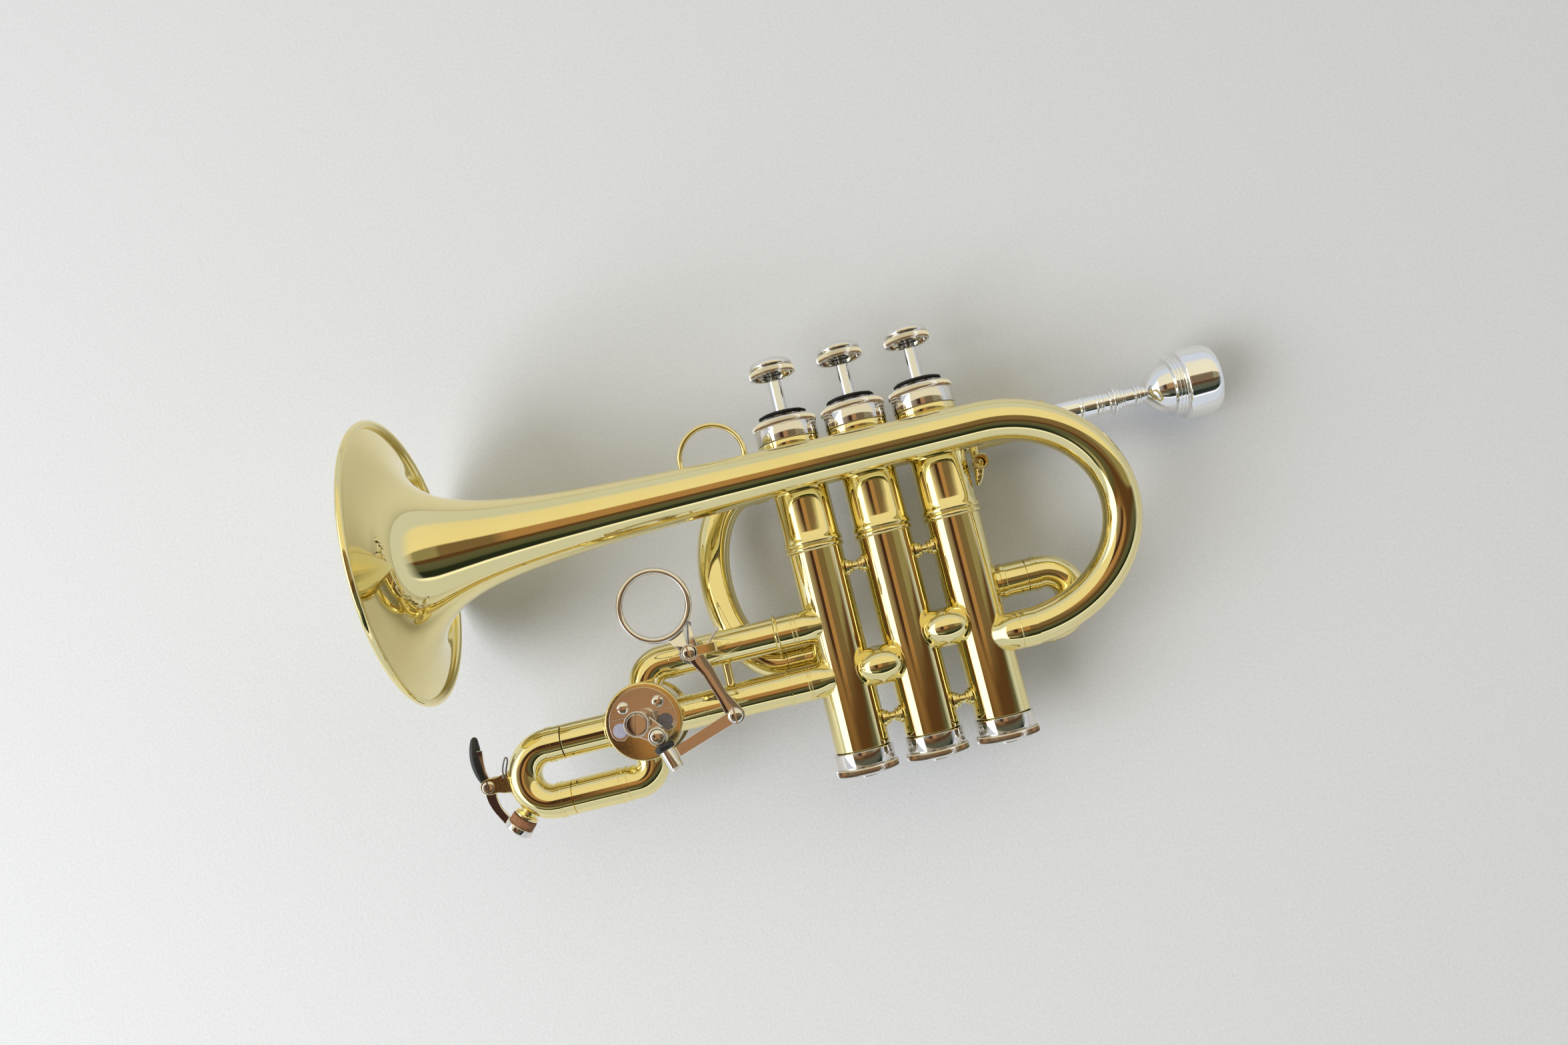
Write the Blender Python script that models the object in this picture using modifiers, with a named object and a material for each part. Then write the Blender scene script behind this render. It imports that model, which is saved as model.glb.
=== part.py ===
# Piccolo trumpet with three piston valves and a rotary change valve.
# The instrument lies on its side: valve casings horizontal along Y, bell along -X,
# mouthpiece towards +X, +Z up. Lengths below are in millimetres in the drawing
# frame (x = 0 at the second valve, z = 0 at the casing axes) and are turned into
# metres, with the origin under the middle of the instrument, by P().
import bpy
import bmesh
import math
from mathutils import Vector

for old in list(bpy.data.objects):
    bpy.data.objects.remove(old, do_unlink=True)

# ---- driving dimensions (mm) ----
AXIS_HEIGHT = 31.1        # casing axes above the surface it lies on
SHIFT_X, SHIFT_Y = 17.75, 29.4
VALVE_X = (25.0, 0.0, -25.0)
CASING_R, BORE_R, PISTON_R = 9.75, 8.7, 8.35
VALVE_TRAVEL = 12.8
BELL_Y, BELL_Z, BELL_RIM_X, BELL_RIM_R = -0.4, 19.0, -163.4, 50.1
BELL_END_X, WALL = 36.3, 0.7
TUBE_R, LEG_R, TUBE_BORE, LEG_BORE = 6.0, 5.2, 5.5, 4.3
PORT_R, PASSAGE_R = 3.5, 3.2
BRANCH_Z = 6.0
UPPER_Y, LOWER_Y = -53.8, -72.6
ROTOR_X, ROTOR_Y, ROTOR_R = -95.1, -71.8, 12.6
PIN_X, PIN_Y = -89.0, -77.0            # crank pin of the stop arm
PIVOT_X, PIVOT_Y = -73.3, -53.2        # trigger pivot
LINK_X, LINK_Y = -63.2, -76.4          # lever end, where the link bar hangs
RING_X, RING_Y, RING_R = -81.45, -35.4, 11.5   # finger ring of the trigger
LEVER_Z, LEVER_T, LEVER_DROP = 27.5, 1.2, 0.9
KEY_X, KEY_Y = -153.1, -81.5           # water key pivot
SLIDE_U_X, SLIDE_U_R = -131.3, 9.6     # rotary valve slide bow
FIRST_Z = -6.8
LEAD_Y, LEAD_Z = 1.5, -17.9
MOUTH_RIM_X = 134.0
GAP = 0.3
TURNED = 14                           # sides of the turned valve pieces

parts = bpy.data.collections.new("piccolo_trumpet")
cutters = bpy.data.collections.new("cutters")
bpy.context.scene.collection.children.link(parts)
bpy.context.scene.collection.children.link(cutters)


def P(x, y, z):
    return Vector((x + SHIFT_X, y + SHIFT_Y, z + AXIS_HEIGHT)) * 0.001


COLOURS = {
    "brass": ((0.86, 0.62, 0.24), 0.12, 1.0),
    "nickel": ((0.78, 0.77, 0.74), 0.16, 1.0),
    "silver": ((0.90, 0.90, 0.89), 0.08, 1.0),
    "steel": ((0.55, 0.56, 0.58), 0.30, 1.0),
    "felt": ((0.02, 0.02, 0.02), 0.95, 0.0),
    "cork": ((0.45, 0.27, 0.13), 0.90, 0.0),
}


def finish_object(obj, kind):
    colour, rough, metal = COLOURS[kind]
    mat = bpy.data.materials.new(obj.name + "_material")
    mat.use_nodes = True
    shader = mat.node_tree.nodes["Principled BSDF"]
    shader.inputs["Base Color"].default_value = (*colour, 1.0)
    shader.inputs["Roughness"].default_value = rough
    shader.inputs["Metallic"].default_value = metal
    obj.data.materials.clear()
    obj.data.materials.append(mat)
    return obj


def link_part(obj):
    for col in list(obj.users_collection):
        col.objects.unlink(obj)
    parts.objects.link(obj)
    return obj


def make_cutter(obj):
    for col in list(obj.users_collection):
        col.objects.unlink(obj)
    cutters.objects.link(obj)
    obj.hide_render = True
    obj.display_type = "WIRE"
    return obj


def profile_object(name, profile, origin, axis, steps, closed):
    """Screw a (radius, height) profile, listed down its outer side, about an axis."""
    mesh = bpy.data.meshes.new(name)
    verts = [(r * 0.001, 0.0, h * 0.001) for r, h in profile]
    edges = [(i, i + 1) for i in range(len(verts) - 1)]
    if closed:
        edges.append((len(verts) - 1, 0))
    mesh.from_pydata(verts, edges, [])
    obj = bpy.data.objects.new(name, mesh)
    obj.location = P(*origin)
    obj.rotation_mode = "QUATERNION"
    obj.rotation_quaternion = Vector((0, 0, 1)).rotation_difference(Vector(axis))
    mod = obj.modifiers.new("turn", "SCREW")
    mod.steps = mod.render_steps = steps
    mod.use_merge_vertices = True
    mod.merge_threshold = 0.00001
    mod.use_smooth_shade = True
    return obj


def lathe(name, kind, outer, origin=(0, 0, 0), axis=(1, 0, 0), inner=None, steps=12):
    """outer and inner are (radius, height) lists with height rising."""
    if inner is None:
        profile = list(reversed(outer))
        if profile[0][0] > 0:
            profile.insert(0, (0.0, profile[0][1]))
        if profile[-1][0] > 0:
            profile.append((0.0, profile[-1][1]))
        obj = profile_object(name, profile, origin, axis, steps, False)
    else:
        profile = list(reversed(outer)) + list(inner)
        obj = profile_object(name, profile, origin, axis, steps, True)
    link_part(obj)
    return finish_object(obj, kind)


def turned_cutter(name, outer, origin, axis, steps=24):
    profile = list(reversed(outer))
    profile.insert(0, (0.0, profile[0][1]))
    profile.append((0.0, profile[-1][1]))
    return make_cutter(profile_object(name, profile, origin, axis, steps, False))


def curve_mesh(name, points, radii, sides=2, closed=False):
    """A bent tube: a POLY curve with its own radius at each point, made a mesh."""
    curve = bpy.data.curves.new(name + "_path", "CURVE")
    curve.dimensions = "3D"
    curve.bevel_depth = 0.001
    curve.bevel_resolution = sides
    curve.use_fill_caps = True
    spline = curve.splines.new("POLY")
    spline.points.add(len(points) - 1)
    spline.use_cyclic_u = closed
    for i, pt in enumerate(points):
        spline.points[i].co = (*P(*pt), 1.0)
        spline.points[i].radius = radii[i] if isinstance(radii, (list, tuple)) else radii
    path = bpy.data.objects.new(name + "_path", curve)
    bpy.context.scene.collection.objects.link(path)
    bpy.context.view_layer.update()
    graph = bpy.context.evaluated_depsgraph_get()
    mesh = bpy.data.meshes.new_from_object(path.evaluated_get(graph))
    bm = bmesh.new()
    bm.from_mesh(mesh)
    bmesh.ops.remove_doubles(bm, verts=bm.verts, dist=0.000001)
    bmesh.ops.recalc_face_normals(bm, faces=bm.faces)
    bm.to_mesh(mesh)
    bm.free()
    bpy.data.objects.remove(path, do_unlink=True)
    mesh.shade_smooth()
    mesh.set_sharp_from_angle(angle=math.radians(50))
    return bpy.data.objects.new(name, mesh)


def tube(name, kind, points, radii, sides=2, closed=False):
    obj = curve_mesh(name, points, radii, sides, closed)
    link_part(obj)
    return finish_object(obj, kind)


def plate_mesh(name, outline, z_low, z_high, holes=()):
    """A flat plate: a filled 2D curve with an extrude of half its thickness."""
    curve = bpy.data.curves.new(name + "_outline", "CURVE")
    curve.dimensions = "2D"
    curve.fill_mode = "BOTH"
    curve.extrude = (z_high - z_low) * 0.0005
    for loop in [outline] + [[(hx + hr * math.cos(k * math.tau / 12), hy + hr * math.sin(k * math.tau / 12))
                              for k in range(12)] for hx, hy, hr in holes]:
        spline = curve.splines.new("POLY")
        spline.points.add(len(loop) - 1)
        spline.use_cyclic_u = True
        for i, (x, y) in enumerate(loop):
            pt = P(x, y, 0)
            spline.points[i].co = (pt.x, pt.y, 0.0, 1.0)
    path = bpy.data.objects.new(name + "_outline", curve)
    bpy.context.scene.collection.objects.link(path)
    bpy.context.view_layer.update()
    graph = bpy.context.evaluated_depsgraph_get()
    mesh = bpy.data.meshes.new_from_object(path.evaluated_get(graph))
    bm = bmesh.new()
    bm.from_mesh(mesh)
    bmesh.ops.remove_doubles(bm, verts=bm.verts, dist=0.000001)
    bmesh.ops.translate(bm, verts=bm.verts, vec=(0, 0, P(0, 0, 0.5 * (z_low + z_high)).z))
    bmesh.ops.recalc_face_normals(bm, faces=bm.faces)
    bm.to_mesh(mesh)
    bm.free()
    bpy.data.objects.remove(path, do_unlink=True)
    return bpy.data.objects.new(name, mesh)


def plate(name, kind, outline, z_low, z_high, holes=()):
    obj = plate_mesh(name, outline, z_low, z_high, holes)
    link_part(obj)
    return finish_object(obj, kind)


def boolean(obj, tool, operation="DIFFERENCE"):
    mod = obj.modifiers.new(operation.lower(), "BOOLEAN")
    mod.operation = operation
    mod.object = tool
    mod.solver = "EXACT"
    return obj


def arc(cx, cy, radius, start, end, count):
    return [(cx + radius * math.cos(math.radians(start + (end - start) * k / count)),
             cy + radius * math.sin(math.radians(start + (end - start) * k / count)))
            for k in range(count + 1)]


def hollow(obj, points, radius):
    """Cut the bore of a bent tube along its own path, open past both of its ends."""
    path, bore = [], []
    for i, pt in enumerate(points):
        if path and (Vector(pt) - path[-1]).length < 0.3:
            continue
        path.append(Vector(pt))
        bore.append(radius[i] if isinstance(radius, (list, tuple)) else radius)
    path.insert(0, path[0] + (path[0] - path[1]).normalized() * 2.0)
    path.append(path[-1] + (path[-1] - path[-2]).normalized() * 2.0)
    bore = [bore[0]] + bore + [bore[-1]]
    return boolean(obj, make_cutter(curve_mesh(obj.name + "_bore", [tuple(p) for p in path], bore, 2)))


# ---- clearance cutters round the casings and the rotary valve ----
casing_clear = [turned_cutter("casing_clear_%d" % (i + 1), [(CASING_R + GAP, -100), (CASING_R + GAP, -30)],
                              (x, 0, 0), (0, 1, 0), 16) for i, x in enumerate(VALVE_X)]
rotor_clear = turned_cutter("rotor_clear", [(ROTOR_R + GAP, -12), (ROTOR_R + GAP, 24)],
                            (ROTOR_X, ROTOR_Y, 0), (0, 0, 1), 20)


# ---- bell ----
def bell_radius(d):
    return 4.6 + 45.2 / (1.0 + d / 5.0) ** 0.75


def bell_slope(d):
    return -45.2 * 0.75 / 5.0 / (1.0 + d / 5.0) ** 1.75


stations = [1.0, 2.6, 5.0, 9.0, 16.0, 28.0, 50.0, 95.0, BELL_END_X - BELL_RIM_X]
bell_outer = [(48.6, -164.0), (BELL_RIM_R, -163.2), (BELL_RIM_R, -162.2), (48.85, -161.5), (47.0, -162.3)]
bell_outer += [(bell_radius(d), BELL_RIM_X + d) for d in stations]
bell_inner = [(47.9, -163.95)]
for d in [0.4] + stations:
    slope = -bell_slope(d)
    length = math.hypot(1.0, slope)
    at_end = d == stations[-1]
    bell_inner.append((bell_radius(d) - WALL / length,
                       BELL_RIM_X + d - (0.0 if at_end else WALL * slope / length)))
lathe("bell", "brass", bell_outer, (0, BELL_Y, BELL_Z), (1, 0, 0), bell_inner, 20)

# ---- bell bow: half an ellipse that comes down to the first valve ----
BOW_X, BOW_Y, BOW_A, BOW_B = 38.5, -36.0, 41.9, 35.6
bow_points, bow_radii = [(BELL_END_X + GAP, BELL_Y, BELL_Z), (38.4, BELL_Y, BELL_Z)], [7.4, 7.4]
for k in range(1, 15):
    a = math.radians(90.0 - 166.0 * k / 14)
    t = k / 14
    y = BOW_Y + BOW_B * math.sin(a)
    bow_points.append((BOW_X + BOW_A * math.cos(a), y, 8.0 + 11.0 * (y + 71.6) / 71.2))
    bow_radii.append(6.3 + 1.1 * (1.0 - t) ** 1.5)
bow_points += [(46.0, -71.65, 8.0), (45.05, -71.65, 8.0)]
bow_radii += [6.3, 6.3]
hollow(tube("bell_bow", "brass", bow_points, bow_radii, 2), bow_points, [r - 0.8 for r in bow_radii])


def knuckle(centre_x, side, y, theta, bend):
    """Points of the bend that turns a level tube down onto a casing, outer end first."""
    reach = 10.5
    s, c = math.sin(math.radians(theta)), math.cos(math.radians(theta))
    top_z = reach * c + bend * (1.0 - s)
    start_x = centre_x + side * (reach * s + bend * c)
    pts = []
    for k in range(5):
        phi = math.radians((90.0 - theta) * k / 4)
        pts.append((start_x - side * bend * math.sin(phi), y, top_z - bend * (1.0 - math.cos(phi))))
    pts.append((centre_x + side * 5.0 * s, y, 5.0 * c))
    return pts


tail = [(44.7, -71.7, 8.0), (40.6, -71.7, 8.0), (40.5, -71.7, 8.0)] + knuckle(VALVE_X[0], 1, -71.7, 55, 11)
knuckle_obj = tube("bell_tail_knuckle", "brass", tail, [6.45, 6.45, 6.3] + [6.3] * 6, 2)
hollow(knuckle_obj, tail, 5.3)
boolean(knuckle_obj, casing_clear[0])

# ---- valves ----
for i, x in enumerate(VALVE_X):
    n = i + 1
    lathe("valve_casing_%d" % n, "brass",
          [(9.2, -102.5), (9.2, -98.9), (CASING_R, -98.7), (CASING_R, -27.9), (10.35, -27.2), (10.35, -24.8),
           (10.0, -24.2), (10.0, 4.6), (10.9, 6.0), (10.9, 10.2), (10.2, 10.3), (10.2, 14.5)],
          (x, 0, 0), (0, 1, 0), [(BORE_R, -102.5), (BORE_R, 14.5)], TURNED)
    lathe("top_cap_%d" % n, "nickel",
          [(11.2, 10.6), (11.2, 16.6), (11.7, 17.4), (11.7, 19.6), (10.6, 20.9), (3.0, 20.9)],
          (x, 0, 0), (0, 1, 0), [(10.5, 10.6), (10.5, 14.9), (3.0, 14.9)], TURNED)
    lathe("bottom_cap_%d" % n, "nickel",
          [(4.2, -108.5), (4.2, -107.4), (10.2, -107.4), (10.9, -106.4), (10.9, -104.8), (10.4, -104.3),
           (10.4, -99.2), (9.5, -99.2), (9.5, -103.2)],
          (x, 0, 0), (0, 1, 0), None, TURNED)
    lathe("piston_%d" % n, "nickel",
          [(PISTON_R, -86.0), (PISTON_R, 2.0), (2.4, 2.3), (2.4, 35.3)],
          (x, 0, 0), (0, 1, 0), None, TURNED)
    lathe("cap_felt_%d" % n, "felt", [(7.6, 21.2), (7.6, 22.4)], (x, 0, 0), (0, 1, 0),
          [(2.9, 21.2), (2.9, 22.4)], 12)
    lathe("finger_button_%d" % n, "nickel",
          [(3.2, 35.6), (3.4, 36.3), (8.5, 37.3), (8.5, 38.4), (7.6, 41.0), (4.6, 42.8), (0.0, 43.3)],
          (x, 0, 0), (0, 1, 0), None, TURNED)
    coil = []
    turns, per_turn, low, high = 4, 8, -102.1, -86.9
    for k in range(turns * per_turn + 1):
        a = math.tau * k / per_turn
        coil.append((x + 6.2 * math.cos(a), low + (high - low) * k / (turns * per_turn), 6.2 * math.sin(a)))
    tube("valve_spring_%d" % n, "steel", coil, 0.5, 0)

# ---- air passages of the valves ----
# Each side tube meets its casing at a bearing round the casing axis (degrees, from +X towards +Z)
# and at a height along it: the way in, the way out, and the two tubes of the valve's slide.
PORTS = (((154.4, -64.9), (35.0, -71.7), (-43.9, -54.0), (-43.9, -72.8)),
         ((154.4, -72.3), (25.6, -64.9), (-90.0, -73.0), (-90.0, -54.0)),
         ((-149.2, -63.5), (25.6, -72.3), (152.0, LOWER_Y), (152.0, UPPER_Y)))


def at_port(i, port, raised, radius):
    bearing = math.radians(port[0])
    return Vector((VALVE_X[i] + radius * math.cos(bearing), port[1] + raised, radius * math.sin(bearing)))


for i, (way_in, way_out, slide_in, slide_out) in enumerate(PORTS):
    for k, port in enumerate((way_in, way_out, slide_in, slide_out)):
        bearing = math.radians(port[0])
        boolean(bpy.data.objects["valve_casing_%d" % (i + 1)],
                turned_cutter("port_%d_%d" % (i + 1, k + 1), [(PORT_R, 5.0), (PORT_R, 13.0)], (VALVE_X[i], port[1], 0),
                              (math.cos(bearing), 0, math.sin(bearing)), 12))
    # Up, the air goes straight through. Pressed, it goes round by the slide, so those two
    # passages wait one travel above their ports.
    for k, (a, b, raised) in enumerate(((way_in, way_out, 0.0), (way_in, slide_in, VALVE_TRAVEL),
                                        (slide_out, way_out, VALVE_TRAVEL))):
        start, end = at_port(i, a, raised, PISTON_R), at_port(i, b, raised, PISTON_R)
        boolean(bpy.data.objects["piston_%d" % (i + 1)],
                turned_cutter("air_%d_%d" % (i + 1, k + 1), [(PASSAGE_R, -2.5), (PASSAGE_R, (end - start).length + 2.5)],
                              tuple(start), tuple((end - start).normalized()), 12))

# ---- transfer knuckles and braces between the casings ----
def bean(name, cx, cy, size):
    bm = bmesh.new()
    bmesh.ops.create_uvsphere(bm, u_segments=12, v_segments=8, radius=0.001)
    bmesh.ops.scale(bm, vec=size, verts=bm.verts)
    mesh = bpy.data.meshes.new(name)
    bm.to_mesh(mesh)
    bm.free()
    mesh.shade_smooth()
    obj = bpy.data.objects.new(name, mesh)
    obj.location = P(cx, cy, 6.0)
    return obj


for name, cx, cy, pair in (("transfer_knuckle_12", 12.5, -64.9, (0, 1)), ("transfer_knuckle_23", -12.5, -72.3, (1, 2))):
    obj = link_part(bean(name, cx, cy, (9.2, 7.0, 8.4)))
    finish_object(obj, "brass")
    boolean(obj, make_cutter(bean(name + "_bore", cx, cy, (8.4, 6.1, 7.5))))
    for k in pair:
        boolean(obj, casing_clear[k])
for name, cx, cy in (("casing_brace_upper_12", 12.5, -36.5), ("casing_brace_upper_23", -12.5, -36.5),
                     ("casing_brace_lower_12", 12.5, -90.3), ("casing_brace_lower_23", -12.5, -90.5)):
    lathe(name, "brass", [(3.2, -3.4), (3.2, -2.2), (1.8, -1.2), (1.8, 1.2), (3.2, 2.2), (3.2, 3.4)],
          (cx, cy, 3.6), (1, 0, 0), None, 12)
    for k in ((0, 1) if cx > 0 else (1, 2)):
        boolean(bpy.data.objects[name], casing_clear[k])

# ---- leadpipe, receiver, mouthpiece ----
lathe("leadpipe", "brass", [(6.2, -43.0), (6.2, -37.4), (4.9, -36.8), (4.9, 44.8)], (0, LEAD_Y, LEAD_Z), (1, 0, 0),
      [(TUBE_BORE, -43.0), (TUBE_BORE, -37.0), (3.9, -36.0), (3.9, 44.8)], 12)
lathe("mouthpiece_receiver", "brass",
      [(6.4, 38.3), (6.4, 42.0), (6.0, 43.0), (6.0, 66.0), (6.9, 67.0), (6.9, 71.2)],
      (0, LEAD_Y, LEAD_Z), (1, 0, 0), [(5.3, 38.3), (5.3, 45.1), (4.9, 45.2), (4.9, 71.2)], 12)
mouth_outer = [(4.0, 47.0), (4.45, 71.5), (4.25, 83.0), (4.75, 83.6), (4.25, 84.2), (4.0, 89.0), (4.5, 89.8), (4.45, 91.3),
               (3.8, 92.0), (3.9, 94.2), (5.3, 95.7), (5.3, 96.5), (4.4, 97.8), (3.5, 99.8), (3.3, 103.4), (4.1, 104.2),
               (3.9, 105.8), (3.1, 106.6), (5.2, 108.1), (7.8, 110.9), (9.3, 115.0), (9.4, 116.1), (10.9, 116.4), (10.9, 119.6),
               (12.9, 120.0), (13.2, 121.2), (13.2, 125.2), (12.6, 127.0), (11.0, 128.5)]
mouth_inner = [(3.2, 47.0), (1.8, 112.0), (5.4, 117.4), (7.2, 121.4), (8.5, 127.8)]
lathe("mouthpiece", "silver", mouth_outer, (0, LEAD_Y, LEAD_Z), (1, 0, 0), mouth_inner, 16)

# ---- finger ring on the bell tube ----
ring_pts = [(x, y, 15.0) for x, y in arc(-52.2, 10.7, 11.3, -9, 189, 14)]
tube("little_finger_ring", "brass", ring_pts, 0.95, 2)

# ---- small socket between bell tube and leadpipe ----
socket = lathe("lyre_socket", "brass", [(2.75, -6.0), (2.75, 6.5)], (38.9, -11.5, 0), (0, 0, 1), None, 16)
stay = make_cutter(curve_mesh("socket_stay", [(38.9, -10.6, -3.0), (38.9, -5.5, -3.0), (38.9, -0.4, -3.0)], 1.5, 2))
column = turned_cutter("socket_column", [(2.6, -11.0), (1.9, -10.0), (1.9, 9.0), (2.6, 10.9)], (38.9, 0.4, 0), (0, 0, 1), 16)
foot = make_cutter(curve_mesh("socket_foot", [(38.7, -12.0, 2.0), (36.3, -19.5, 2.0)], 1.4, 2))
for tool in (stay, column, foot):
    boolean(socket, tool, "UNION")
boolean(socket, turned_cutter("socket_hole", [(1.85, 0.0), (1.85, 8.0)], (38.9, -11.5, 0), (0, 0, 1), 12))

# ---- main tuning slide ----
MAIN_X, MAIN_Y, MAIN_A, MAIN_B = -44.4, -31.0, 18.4, 32.5
leg = lathe("main_slide_leg", "brass", [(6.1, -43.0), (6.1, -28.0)], (0, -63.5, -5.0), (1, 0, 0),
            [(TUBE_BORE, -43.0), (TUBE_BORE, -28.0)], 12)
boolean(leg, casing_clear[2])


def main_z(y):
    return -5.0 + (LEAD_Z + 5.0) * (y + 63.5) / 65.0


main_pts = [(-37.4, LEAD_Y, LEAD_Z), (-43.25, LEAD_Y, LEAD_Z), (-43.3, LEAD_Y, LEAD_Z)]
main_rad = [LEG_R, LEG_R, 5.95]
for k in range(13):
    a = math.radians(90.0 + 180.0 * k / 12)
    y = MAIN_Y + MAIN_B * math.sin(a)
    main_pts.append((MAIN_X + MAIN_A * math.cos(a), y, main_z(y)))
    main_rad.append(5.95)
main_pts += [(-43.3, -63.5, -5.0), (-43.25, -63.5, -5.0), (-36.6, -63.5, -5.0)]
main_rad += [5.95, LEG_R, LEG_R]
hollow(tube("main_tuning_bow", "brass", main_pts, main_rad, 2), main_pts, LEG_BORE)


# ---- first valve slide ----
for name, y in (("first_slide_tube_upper", -54.0), ("first_slide_tube_lower", -72.8)):
    obj = lathe(name, "brass", [(5.9, 27.0), (5.9, 46.0)], (0, y, FIRST_Z), (1, 0, 0),
                [(TUBE_BORE, 27.0), (TUBE_BORE, 46.0)], 12)
    boolean(obj, casing_clear[0])
first_pts = [(37.0, -54.0, FIRST_Z), (46.25, -54.0, FIRST_Z), (46.3, -54.0, FIRST_Z)]
first_rad = [LEG_R, LEG_R, 5.9]
first_pts += [(x, y, FIRST_Z) for x, y in arc(51.2, -63.4, 9.4, 90, -90, 8)]
first_rad += [5.9] * 9
first_pts += [(46.3, -72.8, FIRST_Z), (46.25, -72.8, FIRST_Z), (37.0, -72.8, FIRST_Z)]
first_rad += [5.9, LEG_R, LEG_R]
hollow(tube("first_slide_bow", "brass", first_pts, first_rad, 2), first_pts, LEG_BORE)

# ---- second valve slide, pointing away below ----
SECOND_U_Z = -15.6
for name, y in (("second_slide_tube_upper", -54.0), ("second_slide_tube_lower", -73.0)):
    obj = lathe(name, "brass", [(6.1, -13.2), (6.1, -4.0)], (0, y, 0), (0, 0, 1),
                [(TUBE_BORE, -13.2), (TUBE_BORE, -4.0)], 12)
    boolean(obj, casing_clear[1])
second_pts = [(0, -54.0, -10.4), (0, -54.0, -13.45), (0, -54.0, -13.5)]
second_pts += [(0, y, z) for y, z in arc(-63.5, SECOND_U_Z, 9.5, 0, -180, 8)]
second_pts += [(0, -73.0, -13.5), (0, -73.0, -13.45), (0, -73.0, -10.4)]
hollow(tube("second_slide_bow", "brass", second_pts, [LEG_R, LEG_R] + [6.0] * 11 + [LEG_R, LEG_R], 2), second_pts, LEG_BORE)

# ---- third valve branch, up to the rotary valve ----
upper = list(reversed(knuckle(VALVE_X[2], -1, UPPER_Y, 62, 9)))
upper_rad = [6.0] * 6
for x, r in ((-38.9, 6.3), (-39.7, 6.3), (-40.0, 6.0), (-44.4, 6.0), (-44.6, 7.2), (-45.6, 7.2), (-45.8, 6.0),
             (-60.0, 6.0), (-84.0, 6.0)):
    upper.append((x, UPPER_Y, BRANCH_Z))
    upper_rad.append(r)
for x, y in arc(-85.5, -61.8, 8.0, 90, 180, 8):
    upper.append((x, y, BRANCH_Z))
    upper_rad.append(6.0)
upper.append((-93.5, -64.0, BRANCH_Z))
upper_rad.append(6.0)
obj = tube("third_branch_upper", "brass", upper, upper_rad, 2)
hollow(obj, upper, 5.1)
boolean(obj, casing_clear[2])
boolean(obj, rotor_clear)
lower = list(reversed(knuckle(VALVE_X[2], -1, LOWER_Y, 62, 9)))
lower_rad = [6.2] * 6
for x, r in ((-44.4, 6.2), (-44.6, 6.0), (-60.0, 5.9), (-74.3, 5.8), (-74.5, 6.0), (-88.0, 6.0)):
    lower.append((x, LOWER_Y, BRANCH_Z))
    lower_rad.append(r)
obj = tube("third_branch_lower", "brass", lower, lower_rad, 2)
hollow(obj, lower, 5.0)
boolean(obj, casing_clear[2])
boolean(obj, rotor_clear)

# ---- rotary change valve ----
rc = lathe("rotor_casing", "brass", [(ROTOR_R, -7.8), (ROTOR_R, 13.5)], (ROTOR_X, ROTOR_Y, 0), (0, 0, 1),
           [(10.3, -7.8), (10.3, 13.5)], 20)
boolean(rc, turned_cutter("ports_x", [(4.8, -16), (4.8, 16)], (ROTOR_X, ROTOR_Y, BRANCH_Z), (1, 0, 0), 12))
boolean(rc, turned_cutter("ports_y", [(4.8, -16), (4.8, 16)], (ROTOR_X, ROTOR_Y, BRANCH_Z), (0, 1, 0), 12))
rotor = lathe("rotor", "nickel", [(9.9, -7.5), (9.9, 13.2), (2.2, 13.4), (2.2, 17.7)], (ROTOR_X, ROTOR_Y, 0), (0, 0, 1),
              None, 20)
for name, s in (("passage_a", 1), ("passage_b", -1)):
    ring = [(x, y, BRANCH_Z) for x, y in arc(ROTOR_X + s * 10.3, ROTOR_Y + s * 10.3, 10.3, 0, 330, 11)]
    boolean(rotor, make_cutter(curve_mesh(name, ring, 3.6, 2, True)))
lathe("rotor_front_cap", "brass", [(13.3, 13.8), (13.3, 15.6), (12.8, 16.3)], (ROTOR_X, ROTOR_Y, 0),
      (0, 0, 1), [(2.6, 13.8), (2.6, 16.3)], 20)
lathe("rotor_back_cap", "brass", [(12.6, -10.8), (13.3, -10.2), (13.3, -8.1)],
      (ROTOR_X, ROTOR_Y, 0), (0, 0, 1), None, 20)
# The plate covers the cap down to a step beside the two bumpers.
plate_outline = [(x, y) for x, y in arc(ROTOR_X, ROTOR_Y, 11.5, -14, 194, 16)]
plate_outline += [(ROTOR_X - 7.4, ROTOR_Y - 4.6), (ROTOR_X - 5.2, ROTOR_Y - 1.9), (ROTOR_X - 3.6, ROTOR_Y - 3.9),
                  (ROTOR_X + 3.6, ROTOR_Y - 3.9), (ROTOR_X + 5.2, ROTOR_Y - 1.9), (ROTOR_X + 7.4, ROTOR_Y - 4.6)]
plate("rotor_bearing_plate", "nickel", plate_outline, 16.6, 17.6, [(ROTOR_X, ROTOR_Y, 2.6)])
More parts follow.
